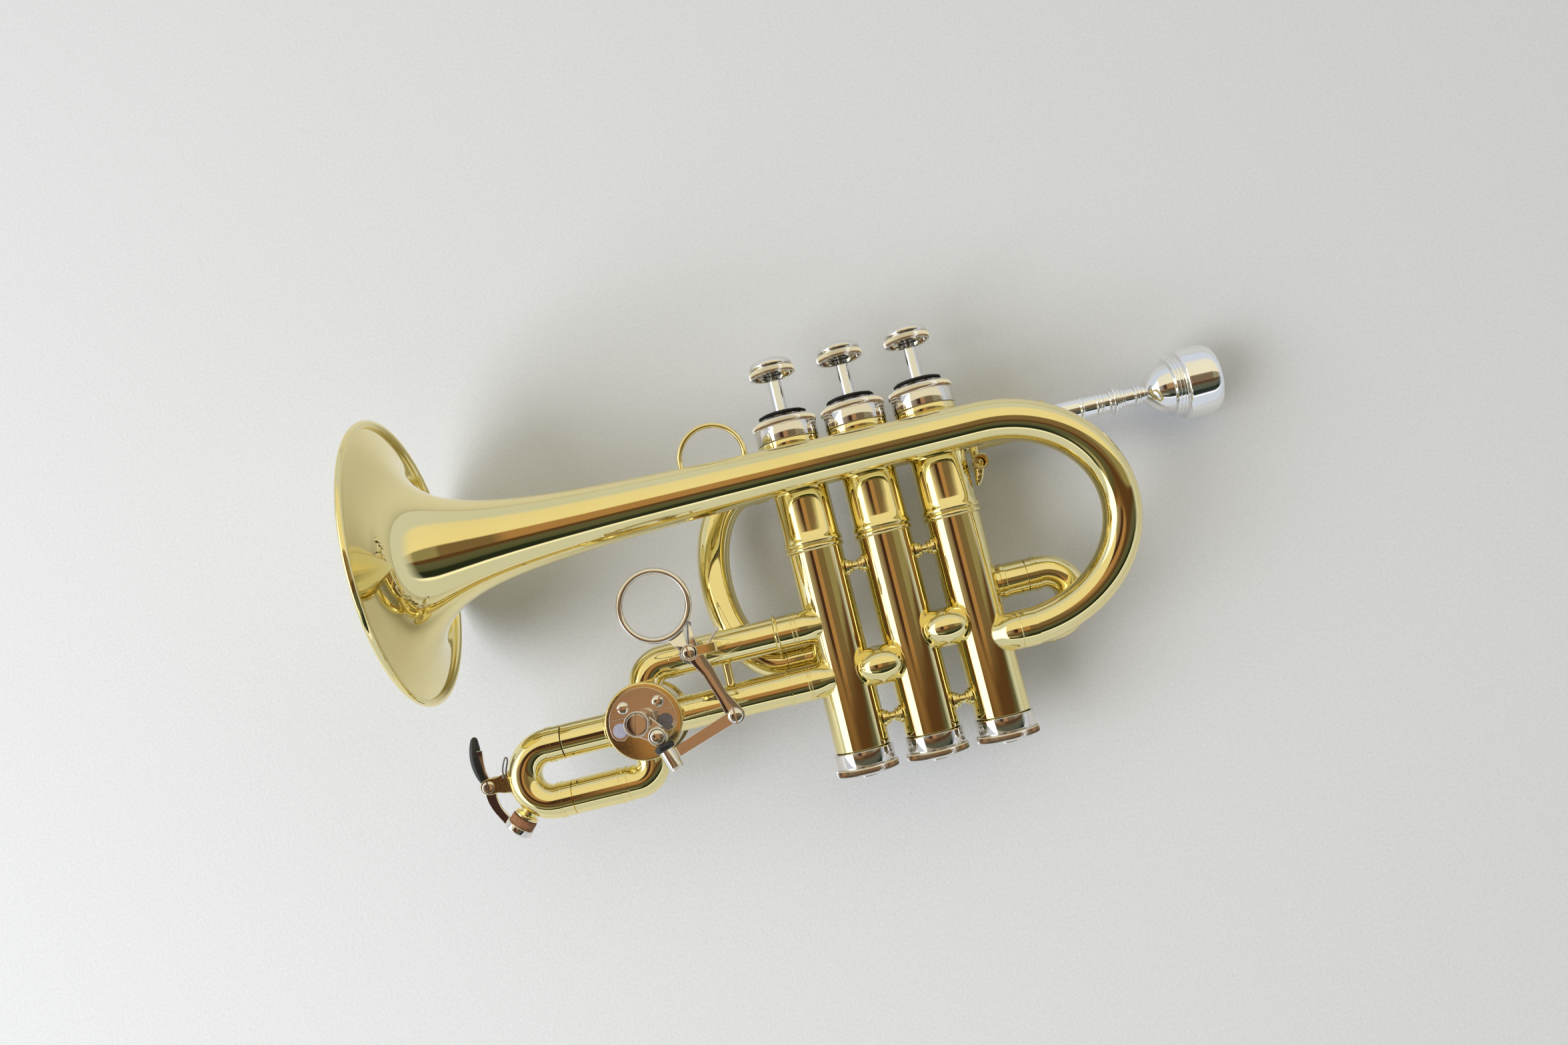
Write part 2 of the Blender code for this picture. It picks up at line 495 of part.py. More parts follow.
# The stop arm: a tall hub on the spindle, the lug that meets the bumpers, and the arm that
# carries the crank pin. The link's eye turns just above the pin and the hub.
arm_dir = math.atan2(PIN_Y - ROTOR_Y, PIN_X - ROTOR_X)
arm_outline = []
for k in range(13):
    a = arm_dir + math.pi / 2 + math.pi * k / 12
    arm_outline.append((ROTOR_X + 3.9 * math.cos(a), ROTOR_Y + 3.9 * math.sin(a)))
for k in range(9):
    a = arm_dir - math.pi / 2 + math.pi * k / 8
    arm_outline.append((PIN_X + 2.7 * math.cos(a), PIN_Y + 2.7 * math.sin(a)))
arm = plate("stop_arm", "nickel", arm_outline, 26.0, 27.8)
lug = [(ROTOR_X, ROTOR_Y)] + arc(ROTOR_X, ROTOR_Y, 8.2, -61, -30, 4)
for tool in (turned_cutter("hub", [(4.27, 18.0), (4.27, 31.0)], (ROTOR_X, ROTOR_Y, 0), (0, 0, 1), 20),
             make_cutter(plate_mesh("stop_lug", lug, 18.3, 21.3)),
             turned_cutter("crank_pin", [(1.0, 27.0), (1.0, 30.9)], (PIN_X, PIN_Y, 0), (0, 0, 1), 10)):
    boolean(arm, tool, "UNION")

# ---- rotary valve slide ----
top_y, low_y = -72.3, -91.5
obj = lathe("rotor_slide_tube", "brass", [(6.0, -126.3), (6.0, -103.0)], (0, top_y, BRANCH_Z), (1, 0, 0),
            [(TUBE_BORE, -126.3), (TUBE_BORE, -103.0)], 12)
boolean(obj, rotor_clear)
elbow = [(-96.3, -81.0, BRANCH_Z)]
elbow += [(x, y, BRANCH_Z) for x, y in arc(-102.7, -85.1, 6.4, 0, -90, 7)]
elbow += [(-110.0, low_y, BRANCH_Z), (-126.3, low_y, BRANCH_Z)]
obj = tube("rotor_slide_elbow", "brass", elbow, [5.8] * 9 + [6.0, 6.0], 2)
hollow(obj, elbow, 4.9)
boolean(obj, rotor_clear)
boolean(obj, turned_cutter("elbow_bore", [(TUBE_BORE, -128.0), (TUBE_BORE, -110.0)], (0, low_y, BRANCH_Z), (1, 0, 0), 12))
bow = [(-114.0, top_y, BRANCH_Z), (-126.55, top_y, BRANCH_Z), (-126.6, top_y, BRANCH_Z)]
bow += [(x, y, BRANCH_Z) for x, y in arc(SLIDE_U_X, 0.5 * (top_y + low_y), SLIDE_U_R, 90, 270, 8)]
bow += [(-126.6, low_y, BRANCH_Z), (-126.55, low_y, BRANCH_Z), (-114.0, low_y, BRANCH_Z)]
slide_bow = tube("rotor_slide_bow", "brass", bow, [LEG_R, LEG_R] + [6.0] * 11 + [LEG_R, LEG_R], 2)
seat_dir = (-0.700, -0.714, 0.0)
slide_centre = (SLIDE_U_X, 0.5 * (top_y + low_y), BRANCH_Z)
boolean(slide_bow, turned_cutter("seat_nipple", [(2.9, 12.6), (2.9, 15.9), (4.2, 16.4), (4.2, 17.4)], slide_centre, seat_dir, 16),
        "UNION")
hollow(slide_bow, bow, LEG_BORE)
boolean(slide_bow, turned_cutter("seat_bore", [(1.5, 8.0), (1.5, 18.0)], slide_centre, seat_dir, 12))

# ---- water key ----
saddle_outline = [(-147.6, -78.4), (-147.6, -85.2), (-151.6, -83.6), (-154.9, -82.9), (-155.2, -80.2), (-152.6, -79.2)]
saddle = plate("water_key_saddle", "brass", saddle_outline, 8.4, 9.6)
boolean(saddle, make_cutter(plate_mesh("saddle_low", saddle_outline, 2.4, 3.6)), "UNION")
boolean(saddle, make_cutter(plate_mesh("saddle_web", [(-147.6, -78.4), (-147.6, -85.2), (-149.3, -84.6), (-149.3, -78.9)],
                                       3.0, 9.0)), "UNION")
boolean(saddle, turned_cutter("key_pin", [(0.9, 3.0), (0.9, 9.9), (2.2, 10.0), (2.2, 10.9)], (KEY_X, KEY_Y, 0), (0, 0, 1), 14),
        "UNION")
key = lathe("water_key_lever", "nickel", [(2.1, 4.0), (2.1, 8.0)], (KEY_X, KEY_Y, 0), (0, 0, 1), None, 14)
arm_up = make_cutter(curve_mesh("key_thumb_arm", [(-154.6, -63.4, 6.0), (-155.6, -70.0, 6.0), (-155.4, -77.0, 6.0),
                                                  (-153.9, -80.9, 6.0)], [2.2, 2.6, 1.6, 1.3], 2))
cup_at = [slide_centre[k] + seat_dir[k] * 22.6 for k in range(3)]
arm_down = make_cutter(curve_mesh("key_cup_arm", [(-153.4, -82.2, 6.0), (-153.2, -86.5, 6.0), (-151.6, -91.2, 6.0),
                                                  (-149.4, -95.0, 6.0), tuple(cup_at)], [1.3, 1.3, 1.3, 1.3, 1.3], 2))
cup = turned_cutter("key_cup", [(5.0, 20.6), (5.0, 22.4), (2.2, 23.5)], slide_centre, seat_dir, 16)
for tool in (arm_up, arm_down, cup):
    boolean(key, tool, "UNION")
boolean(key, turned_cutter("key_bore", [(1.25, 2.0), (1.25, 10.0)], (KEY_X, KEY_Y, 0), (0, 0, 1), 14))
lathe("water_key_cork", "cork", [(4.5, 17.7), (4.5, 20.3)], slide_centre, seat_dir, None, 16)

# ---- trigger for the rotary valve ----
# A flange on the tube carries a round column and, beside it, a bent strap that reaches back over
# the column and holds the pivot screw. The lever turns between the column and the strap.
diamond = [(-83.0, -53.9), (-76.0, -50.9), (-69.3, -49.6), (-62.6, -50.9), (-55.5, -53.5), (-62.6, -56.4),
           (-69.3, -57.8), (-76.0, -56.6)]
post = plate("trigger_post", "brass", diamond, 12.3, 13.3)
lever_top = LEVER_Z + LEVER_T
column = turned_cutter("post_column", [(2.9, 12.8), (2.9, LEVER_Z - 0.35), (1.2, LEVER_Z - 0.3), (1.2, lever_top + 0.6)],
                       (PIVOT_X, PIVOT_Y, 0), (0, 0, 1), 16)
strap_outline = [(-63.9, PIVOT_Y - 1.6), (-63.9, PIVOT_Y + 1.5)] + arc(PIVOT_X, PIVOT_Y, 2.3, 42, 318, 10)
strap = make_cutter(plate_mesh("post_strap", strap_outline, lever_top + 0.3, lever_top + 1.3))
leg_outline = [(-65.0, PIVOT_Y - 1.6), (-63.9, PIVOT_Y - 1.6), (-63.9, PIVOT_Y + 1.5), (-65.0, PIVOT_Y + 1.5)]
leg_plate = make_cutter(plate_mesh("post_leg", leg_outline, 12.8, lever_top + 0.9))
pivot_screw = turned_cutter("pivot_screw", [(2.05, lever_top + 0.9), (2.05, lever_top + 2.2), (1.7, lever_top + 2.5)],
                            (PIVOT_X, PIVOT_Y, 0), (0, 0, 1), 16)
for tool in (column, strap, leg_plate, pivot_screw):
    boolean(post, tool, "UNION")

lever_outline = [(-79.6, -46.7), (-72.4, -42.5), (-70.2, -51.4), (-68.7, -55.6), (-66.9, -59.8), (-64.5, -68.4)]
lever_outline += arc(LINK_X, LINK_Y, 2.95, 20, -160, 6)
lever_outline += [(-67.6, -70.7), (-70.7, -61.6), (-73.8, -56.4), (-76.1, -52.5)]
lever = plate("trigger_lever", "nickel", lever_outline, LEVER_Z, LEVER_Z + LEVER_T,
              [(PIVOT_X, PIVOT_Y, 1.6), (LINK_X, LINK_Y, 1.35)])
# The strap of the lever steps down between two folds on its way to the link.
fold_start, fold_dir, fold_length = Vector((-68.8, -60.7)), Vector((0.30, -0.954)), 9.2
for v in lever.data.vertices:
    along = (Vector((v.co.x * 1000 - SHIFT_X, v.co.y * 1000 - SHIFT_Y)) - fold_start).dot(fold_dir) / fold_length
    v.co.z -= LEVER_DROP * min(1.0, max(0.0, along)) * 0.001
finger = make_cutter(curve_mesh("lever_ring", [(x, y, LEVER_Z + 0.6) for x, y in arc(RING_X, RING_Y, RING_R, 0, 340, 17)],
                                1.15, 2, True))
boolean(lever, finger, "UNION")

# The link: a flat bar on the lever's end, soldered under a barrel whose eye turns on the crank pin.
BAR_LOW, BAR_HIGH = LEVER_Z + LEVER_T - LEVER_DROP + 0.3, LEVER_Z + LEVER_T - LEVER_DROP + 1.4
barrel_dir = Vector((0.32, -0.948, 0.0)).normalized()
bar_start = Vector((PIN_X, PIN_Y, 0.0)) + barrel_dir * 7.4
bar_dir = Vector((LINK_X - bar_start.x, LINK_Y - bar_start.y, 0.0)).normalized()
side = Vector((-bar_dir.y, bar_dir.x, 0.0))
bar_angle = math.degrees(math.atan2(bar_dir.y, bar_dir.x))
bar_outline = [(bar_start.x - 1.8 * side.x, bar_start.y - 1.8 * side.y)]
bar_outline += arc(LINK_X, LINK_Y, 1.95, bar_angle - 90, bar_angle + 90, 8)
bar_outline += [(bar_start.x + 1.8 * side.x, bar_start.y + 1.8 * side.y)]
link = plate("trigger_link", "nickel", bar_outline, BAR_LOW, BAR_HIGH)
barrel_z = BAR_HIGH + 2.3
barrel = turned_cutter("link_barrel", [(2.55, 3.05), (2.55, 12.0), (2.1, 12.4)], (PIN_X, PIN_Y, barrel_z), tuple(barrel_dir), 16)
eye_low, eye_high = 31.3, 33.5
barrel_angle = math.degrees(math.atan2(barrel_dir.y, barrel_dir.x))
eye_outline = arc(PIN_X, PIN_Y, 3.05, barrel_angle + 40, barrel_angle + 320, 14)
across = Vector((-barrel_dir.y, barrel_dir.x, 0.0))
for s in (-1, 1):
    corner = Vector((PIN_X, PIN_Y, 0.0)) + barrel_dir * 4.5 + across * (1.95 * s)
    eye_outline.append((corner.x, corner.y))
eye = make_cutter(plate_mesh("link_eye", eye_outline, eye_low, eye_high))
link_screw = turned_cutter("link_screw", [(0.95, BAR_LOW - 2.2), (0.95, BAR_LOW + 0.2), (0.96, BAR_HIGH - 0.1), (2.6, BAR_HIGH - 0.05),
                                          (2.6, BAR_HIGH + 0.9), (1.9, BAR_HIGH + 1.9)], (LINK_X, LINK_Y, 0), (0, 0, 1), 16)
for tool in (barrel, eye, link_screw):
    boolean(link, tool, "UNION")
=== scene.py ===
# Looks of the piccolo trumpet. Lengths are in millimetres in the drawing frame of the
# solids (x = 0 at the second valve, z = 0 at the casing axes) and P() turns them into metres.
import math
import random
import bpy
import bmesh
import numpy as np
from mathutils import Vector, Matrix


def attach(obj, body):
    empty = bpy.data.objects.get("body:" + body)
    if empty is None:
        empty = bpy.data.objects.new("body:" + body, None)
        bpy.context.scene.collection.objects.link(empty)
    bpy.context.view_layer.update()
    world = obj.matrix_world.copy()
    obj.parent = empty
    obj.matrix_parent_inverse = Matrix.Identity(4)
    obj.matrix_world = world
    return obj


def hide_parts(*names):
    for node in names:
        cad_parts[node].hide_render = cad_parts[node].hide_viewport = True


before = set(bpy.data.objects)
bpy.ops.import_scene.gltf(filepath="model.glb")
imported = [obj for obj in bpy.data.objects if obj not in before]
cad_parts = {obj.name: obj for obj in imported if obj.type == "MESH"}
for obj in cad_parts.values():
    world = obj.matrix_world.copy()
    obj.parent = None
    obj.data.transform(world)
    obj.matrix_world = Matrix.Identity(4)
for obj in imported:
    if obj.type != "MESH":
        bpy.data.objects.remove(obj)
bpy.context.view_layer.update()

SX, SY, SZ = 15.0, 29.4, 31.1


def P(x, y, z):
    return Vector((x + SX, y + SY, z + SZ)) * 0.001


# ------------------------------------------------------------------ materials
def node_material(name, color, color2, rough, metallic, noise_scale=60.0, rough_var=0.04, bump=0.02, bump_scale=900.0,
                  mix_low=0.35, mix_high=0.7, stretch=(1.0, 1.0, 1.0), wave=0.0, wave_scale=110.0):
    """Base colour, roughness and relief from noise; stretch draws the fine relief out into polishing lines."""
    mat = bpy.data.materials.new(name)
    mat.use_nodes = True
    nt = mat.node_tree
    bsdf = nt.nodes["Principled BSDF"]
    coords = nt.nodes.new("ShaderNodeTexCoord")
    noise = nt.nodes.new("ShaderNodeTexNoise")
    noise.inputs["Scale"].default_value = noise_scale
    noise.inputs["Detail"].default_value = 5.0
    nt.links.new(coords.outputs["Object"], noise.inputs["Vector"])
    ramp = nt.nodes.new("ShaderNodeValToRGB")
    ramp.color_ramp.elements[0].position = mix_low
    ramp.color_ramp.elements[0].color = (*color, 1)
    ramp.color_ramp.elements[1].position = mix_high
    ramp.color_ramp.elements[1].color = (*color2, 1)
    nt.links.new(noise.outputs["Fac"], ramp.inputs["Fac"])
    nt.links.new(ramp.outputs["Color"], bsdf.inputs["Base Color"])
    lay = nt.nodes.new("ShaderNodeMapping")
    lay.inputs["Scale"].default_value = stretch
    nt.links.new(coords.outputs["Object"], lay.inputs["Vector"])
    fine = nt.nodes.new("ShaderNodeTexNoise")
    fine.inputs["Scale"].default_value = bump_scale
    fine.inputs["Detail"].default_value = 3.0
    nt.links.new(lay.outputs["Vector"], fine.inputs["Vector"])
    rr = nt.nodes.new("ShaderNodeMapRange")
    rr.inputs["From Min"].default_value = 0.3
    rr.inputs["From Max"].default_value = 0.7
    rr.inputs["To Min"].default_value = max(0.0, rough - rough_var)
    rr.inputs["To Max"].default_value = rough + rough_var
    nt.links.new(fine.outputs["Fac"], rr.inputs["Value"])
    nt.links.new(rr.outputs["Result"], bsdf.inputs["Roughness"])
    b = nt.nodes.new("ShaderNodeBump")
    b.inputs["Strength"].default_value = bump
    b.inputs["Distance"].default_value = 0.0002
    nt.links.new(fine.outputs["Fac"], b.inputs["Height"])
    if wave:
        broad = nt.nodes.new("ShaderNodeTexNoise")
        broad.inputs["Scale"].default_value = wave_scale
        broad.inputs["Detail"].default_value = 1.0
        nt.links.new(coords.outputs["Object"], broad.inputs["Vector"])
        w = nt.nodes.new("ShaderNodeBump")
        w.inputs["Strength"].default_value = wave
        w.inputs["Distance"].default_value = 0.0002
        nt.links.new(broad.outputs["Fac"], w.inputs["Height"])
        nt.links.new(w.outputs["Normal"], b.inputs["Normal"])
    nt.links.new(b.outputs["Normal"], bsdf.inputs["Normal"])
    bsdf.inputs["Metallic"].default_value = metallic
    return mat


GOLD_A, GOLD_B = (0.90, 0.79, 0.41), (0.88, 0.76, 0.37)
BRASS = node_material("lacquered_brass", GOLD_A, GOLD_B, 0.045, 1.0, 35.0, 0.02, 0.006, 700.0, wave=0.10)
BRASS_X = node_material("lacquered_brass_lengthwise", GOLD_A, GOLD_B, 0.04, 1.0, 35.0, 0.02, 0.012, 1200.0,
                        stretch=(0.02, 1.0, 1.0), wave=0.08)
BRASS_Y = node_material("lacquered_brass_casing", GOLD_A, GOLD_B, 0.04, 1.0, 35.0, 0.02, 0.012, 1200.0,
                        stretch=(1.0, 0.02, 1.0), wave=0.08)
BRASS_CAP = node_material("lacquered_brass_turned", (0.90, 0.74, 0.36), (0.88, 0.71, 0.33), 0.16, 1.0, 60.0, 0.05, 0.02, 1500.0)
NICKEL = node_material("nickel_plate", (0.82, 0.79, 0.74), (0.78, 0.75, 0.70), 0.06, 1.0, 60.0, 0.03, 0.008, 900.0, wave=0.06)
PLATE = node_material("nickel_plate_flat", (0.80, 0.74, 0.68), (0.77, 0.71, 0.64), 0.12, 1.0, 60.0, 0.04, 0.012, 1200.0,
                      stretch=(0.05, 1.0, 1.0))
STEM = node_material("nickel_plate_stem", (0.80, 0.81, 0.83), (0.76, 0.77, 0.79), 0.10, 1.0, 60.0, 0.04, 0.012, 1200.0,
                     stretch=(1.0, 0.04, 1.0))
SILVER = node_material("silver_plate", (0.93, 0.93, 0.93), (0.88, 0.88, 0.88), 0.07, 1.0, 50.0, 0.03, 0.008, 900.0)
STEEL = node_material("spring_steel", (0.42, 0.43, 0.45), (0.32, 0.33, 0.35), 0.25, 1.0, 200.0)
FELT = node_material("felt", (0.008, 0.008, 0.009), (0.030, 0.029, 0.029), 0.92, 0.0, 2500.0, 0.05, 0.9, 4000.0)
CORK = node_material("cork", (0.36, 0.17, 0.08), (0.16, 0.07, 0.035), 0.80, 0.0, 1500.0, 0.08, 0.7, 2500.0)
LAVENDER = node_material("bumper_rubber_light", (0.40, 0.40, 0.52), (0.34, 0.34, 0.45), 0.45, 0.0, 900.0, 0.1, 0.2, 2500.0)
GREY = node_material("bumper_rubber_dark", (0.22, 0.20, 0.23), (0.16, 0.145, 0.17), 0.45, 0.0, 900.0, 0.1, 0.2, 2500.0)
BLACK = node_material("black_rubber", (0.010, 0.010, 0.011), (0.022, 0.022, 0.024), 0.30, 0.0, 900.0, 0.08, 0.10, 2500.0)


# ------------------------------------------------------------------ geometry
def place(obj, body, nodes=()):
    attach(obj, body)
    if nodes:
        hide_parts(*nodes)
    return obj


def add_object(name, verts, faces, mat, body, nodes=(), sharp=38.0):
    mesh = bpy.data.meshes.new(name)
    mesh.from_pydata([tuple(v) for v in verts], [], faces)
    mesh.validate()
    bm = bmesh.new()
    bm.from_mesh(mesh)
    bmesh.ops.remove_doubles(bm, verts=bm.verts, dist=1e-7)
    bmesh.ops.recalc_face_normals(bm, faces=bm.faces)
    bm.to_mesh(mesh)
    bm.free()
    mesh.shade_smooth()
    mesh.set_sharp_from_angle(angle=math.radians(sharp))
    mesh.materials.append(mat)
    obj = bpy.data.objects.new(name, mesh)
    bpy.context.scene.collection.objects.link(obj)
    return place(obj, body, nodes)


def rounded(profile, closed=False, amount=0.22, steps=3):
    """Round the corners of a (radius, height) profile a little so edges catch the light."""
    out = []
    n = len(profile)
    for i in range(n):
        a = np.array(profile[i - 1] if (i > 0 or closed) else profile[i], float)
        b = np.array(profile[i], float)
        c = np.array(profile[(i + 1) % n] if (i < n - 1 or closed) else profile[i], float)
        la, lc = np.linalg.norm(a - b), np.linalg.norm(c - b)
        if la < 1e-9 or lc < 1e-9:
            out.append(tuple(b))
            continue
        cosang = np.dot(a - b, c - b) / la / lc
        if cosang < -0.95 or b[0] < 1e-6:
            out.append(tuple(b))
            continue
        r = min(amount, la * 0.45, lc * 0.45)
        p, q = b + (a - b) / la * r, b + (c - b) / lc * r
        for k in range(steps + 1):
            t = k / steps
            out.append(tuple((1 - t) ** 2 * p + 2 * t * (1 - t) * b + t * t * q))
    return out


def frame_of(axis):
    axis = Vector(axis).normalized()
    q = Vector((0, 0, 1)).rotation_difference(axis)
    return q @ Vector((1, 0, 0)), q @ Vector((0, 1, 0)), axis


def turned_data(profile, origin, axis, steps, closed, ripple=None):
    u, v, w = frame_of(axis)
    o = P(*origin)
    verts, faces = [], []
    n = len(profile)
    for k in range(steps):
        a = math.tau * k / steps
        d = u * math.cos(a) + v * math.sin(a)
        for i, (r, h) in enumerate(profile):
            rr = r + (ripple(i, a) if ripple else 0.0)
            verts.append(o + (d * rr + w * h) * 0.001)
    for k in range(steps):
        k2 = (k + 1) % steps
        for i in range(n if closed else n - 1):
            j = (i + 1) % n
            faces.append((k * n + i, k2 * n + i, k2 * n + j, k * n + j))
    return verts, faces


def lathe(name, mat, body, nodes, outer, origin, axis=(1, 0, 0), inner=None, steps=72, ripple=None, amount=0.22, sharp=38.0):
    if inner is None:
        profile = list(outer)
        if profile[0][0] > 0:
            profile.insert(0, (0.0, profile[0][1]))
        if profile[-1][0] > 0:
            profile.append((0.0, profile[-1][1]))
        profile = rounded(profile, False, amount)
        verts, faces = turned_data(profile, origin, axis, steps, False, ripple)
    else:
        profile = rounded(list(outer) + list(reversed(inner)), True, amount)
        verts, faces = turned_data(profile, origin, axis, steps, True, ripple)
    return add_object(name, verts, faces, mat, body, nodes, sharp)


def band(name, body, x, y, z, r, width, height, axis=(1, 0, 0), mat=None, nodes=()):
    """A half-round bead that runs round a tube of radius r, centred at x, y, z."""
    prof = [(r - 0.4, -width / 2)]
    for k in range(9):
        a = math.pi * k / 8
        prof.append((r - 0.05 + (height + 0.05) * math.sin(a), -width / 2 * math.cos(a)))
    prof.append((r - 0.4, width / 2))
    verts, faces = turned_data(prof, (x, y, z), axis, 72, True)
    return add_object(name, verts, faces, mat or BRASS, body, nodes, 50)


def catmull(points, per=8):
    pts = [np.array(p, float) for p in points]
    pts = [2 * pts[0] - pts[1]] + pts + [2 * pts[-1] - pts[-2]]
    out = []
    for i in range(1, len(pts) - 2):
        p0, p1, p2, p3 = pts[i - 1:i + 3]
        for k in range(per):
            t = k / per
            out.append(0.5 * (2 * p1 + (p2 - p0) * t + (2 * p0 - 5 * p1 + 4 * p2 - p3) * t * t
                              + (3 * p1 - p0 - 3 * p2 + p3) * t ** 3))
    out.append(pts[-2])
    return out


def tube_rings(points, radii, sides):
    """Rings of surface points round a path, as a list of (sides, 3) arrays in drawing millimetres."""
    pts = [np.array(p, float) for p in points]
    n = len(pts)
    rad = list(radii) if isinstance(radii, (list, tuple, np.ndarray)) else [radii] * n
    tang = []
    for i in range(n):
        a, b = pts[max(i - 1, 0)], pts[min(i + 1, n - 1)]
        # steps in radius keep the direction of the nearest real stretch
        j, k = i, i
        while np.linalg.norm(b - a) < 0.3 and (j > 0 or k < n - 1):
            j, k = max(j - 1, 0), min(k + 1, n - 1)
            a, b = pts[j], pts[k]
        t = b - a
        tang.append(t / np.linalg.norm(t))
    ref = np.array([0, 0, 1.0]) if abs(tang[0][2]) < 0.9 else np.array([1.0, 0, 0])
    u = np.cross(tang[0], ref)
    u /= np.linalg.norm(u)
    rings = []
    for i in range(n):
        u = u - tang[i] * np.dot(u, tang[i])
        u /= np.linalg.norm(u)
        v = np.cross(tang[i], u)
        ang = [math.tau * k / sides for k in range(sides)]
        rings.append(np.array([pts[i] + rad[i] * (u * math.cos(a) + v * math.sin(a)) for a in ang]))
    return rings


def tube(name, mat, body, nodes, points, radii, sides=40, sharp=38.0):
    rings = tube_rings(points, radii, sides)
    verts = [P(*q) for ring in rings for q in ring]
    faces = []
    for i in range(len(rings) - 1):
        for k in range(sides):
            k2 = (k + 1) % sides
            faces.append((i * sides + k, i * sides + k2, (i + 1) * sides + k2, (i + 1) * sides + k))
    last = (len(rings) - 1) * sides
    faces.append(tuple(reversed(range(sides))))
    faces.append(tuple(last + k for k in range(sides)))
    obj = add_object(name, verts, faces, mat, body, nodes, sharp)
    obj["rings"] = 0
    del obj["rings"]
    return obj


def loop_wire(name, mat, body, points, r, sides=8, nodes=()):
    """A wire of round section that closes on itself."""
    pts = [np.array(p, float) for p in points]
    n = len(pts)
    centre = sum(pts) / n
    verts, faces = [], []
    for i in range(n):
        t = pts[(i + 1) % n] - pts[i - 1]
        t /= np.linalg.norm(t)
        u = pts[i] - centre
        u -= t * np.dot(u, t)
        u /= np.linalg.norm(u)
        v = np.cross(t, u)
        for k in range(sides):
            a = math.tau * k / sides
            verts.append(P(*(pts[i] + r * (u * math.cos(a) + v * math.sin(a)))))
    for i in range(n):
        j = (i + 1) % n
        for k in range(sides):
            k2 = (k + 1) % sides
            faces.append((i * sides + k, i * sides + k2, j * sides + k2, j * sides + k))
    return add_object(name, verts, faces, mat, body, nodes, 60)


def braze_line(name, body, rings, cx, cz, r):
    """The thin fillet where a tube runs into a casing: the curve in which their surfaces meet."""
    loop = []
    for k in range(len(rings[0])):
        prev = None
        for ring in rings:
            q = ring[k]
            d = math.hypot(q[0] - cx, q[2] - cz) - r
            if prev is not None and prev[1] > 0 >= d:
                t = prev[1] / (prev[1] - d)
                loop.append(prev[0] * (1 - t) + q * t)
                break
            prev = (q, d)
    if len(loop) > 12:
        loop_wire(name, BRASS, body, loop, 0.16)


def arc(cx, cy, radius, start, end, count):
    return [(cx + radius * math.cos(math.radians(start + (end - start) * k / count)),
             cy + radius * math.sin(math.radians(start + (end - start) * k / count)))
            for k in range(count + 1)]


def smooth_outline(points, per=6):
    pts = [np.array(p, float) for p in points]
    n = len(pts)
    out = []
    for i in range(n):
        p0, p1, p2, p3 = pts[i - 1], pts[i], pts[(i + 1) % n], pts[(i + 2) % n]
        for k in range(per):
            t = k / per
            out.append(tuple(0.5 * (2 * p1 + (p2 - p0) * t + (2 * p0 - 5 * p1 + 4 * p2 - p3) * t * t
                                    + (3 * p1 - p0 - 3 * p2 + p3) * t ** 3)))
    return out


def finish_mesh(name, bm, mat, body, nodes, bevel=0.0, thickness=0.0, sharp=35.0):
    mesh = bpy.data.meshes.new(name)
    bm.to_mesh(mesh)
    bm.free()
    mesh.materials.append(mat)
    obj = bpy.data.objects.new(name, mesh)
    bpy.context.scene.collection.objects.link(obj)
    if thickness:
        mod = obj.modifiers.new("thick", "SOLIDIFY")
        mod.thickness = thickness * 0.001
        mod.offset = -1.0
    if bevel:
        mod = obj.modifiers.new("edge", "BEVEL")
        mod.width = bevel * 0.001
        mod.segments = 2
        mod.limit_method = "ANGLE"
        mod.angle_limit = math.radians(50)
    mesh.shade_smooth()
    mesh.set_sharp_from_angle(angle=math.radians(sharp))
    return place(obj, body, nodes)


def plate(name, mat, body, nodes, outline, z_low, z_high, holes=(), bevel=0.15):
    """A flat plate with softened edges, from a filled outline."""
    bm = bmesh.new()
    loops = [outline] + [[(hx + hr * math.cos(math.tau * k / 32), hy + hr * math.sin(math.tau * k / 32))
                          for k in range(32)] for hx, hy, hr in holes]
    edges = []
    for loop in loops:
        vs = [bm.verts.new(P(x, y, z_low)) for x, y in loop]
        for i in range(len(vs)):
            edges.append(bm.edges.new((vs[i], vs[(i + 1) % len(vs)])))
    bmesh.ops.triangle_fill(bm, use_beauty=True, use_dissolve=True, edges=edges)
    ret = bmesh.ops.extrude_face_region(bm, geom=list(bm.faces))
    bmesh.ops.translate(bm, verts=[g for g in ret["geom"] if isinstance(g, bmesh.types.BMVert)],
                        vec=(0, 0, (z_high - z_low) * 0.001))
    bmesh.ops.recalc_face_normals(bm, faces=bm.faces)
    return finish_mesh(name, bm, mat, body, nodes, bevel)


def folded_sheet(name, mat, body, nodes, faces, thickness, bevel=0.12):
    """A sheet bent along folds: flat facets that share their edges, with a thickness downwards."""
    bm = bmesh.new()
    known = {}
    for face in faces:
        vs = []
        for q in face:
            key = (round(q[0], 3), round(q[1], 3), round(q[2], 3))
            if key not in known:
                known[key] = bm.verts.new(P(*q))
            vs.append(known[key])
        bm.faces.new(vs)
    bmesh.ops.recalc_face_normals(bm, faces=bm.faces)
    if sum(f.normal.z * f.calc_area() for f in bm.faces) < 0:
        bmesh.ops.reverse_faces(bm, faces=bm.faces)
    return finish_mesh(name, bm, mat, body, nodes, bevel, thickness, 3.0)


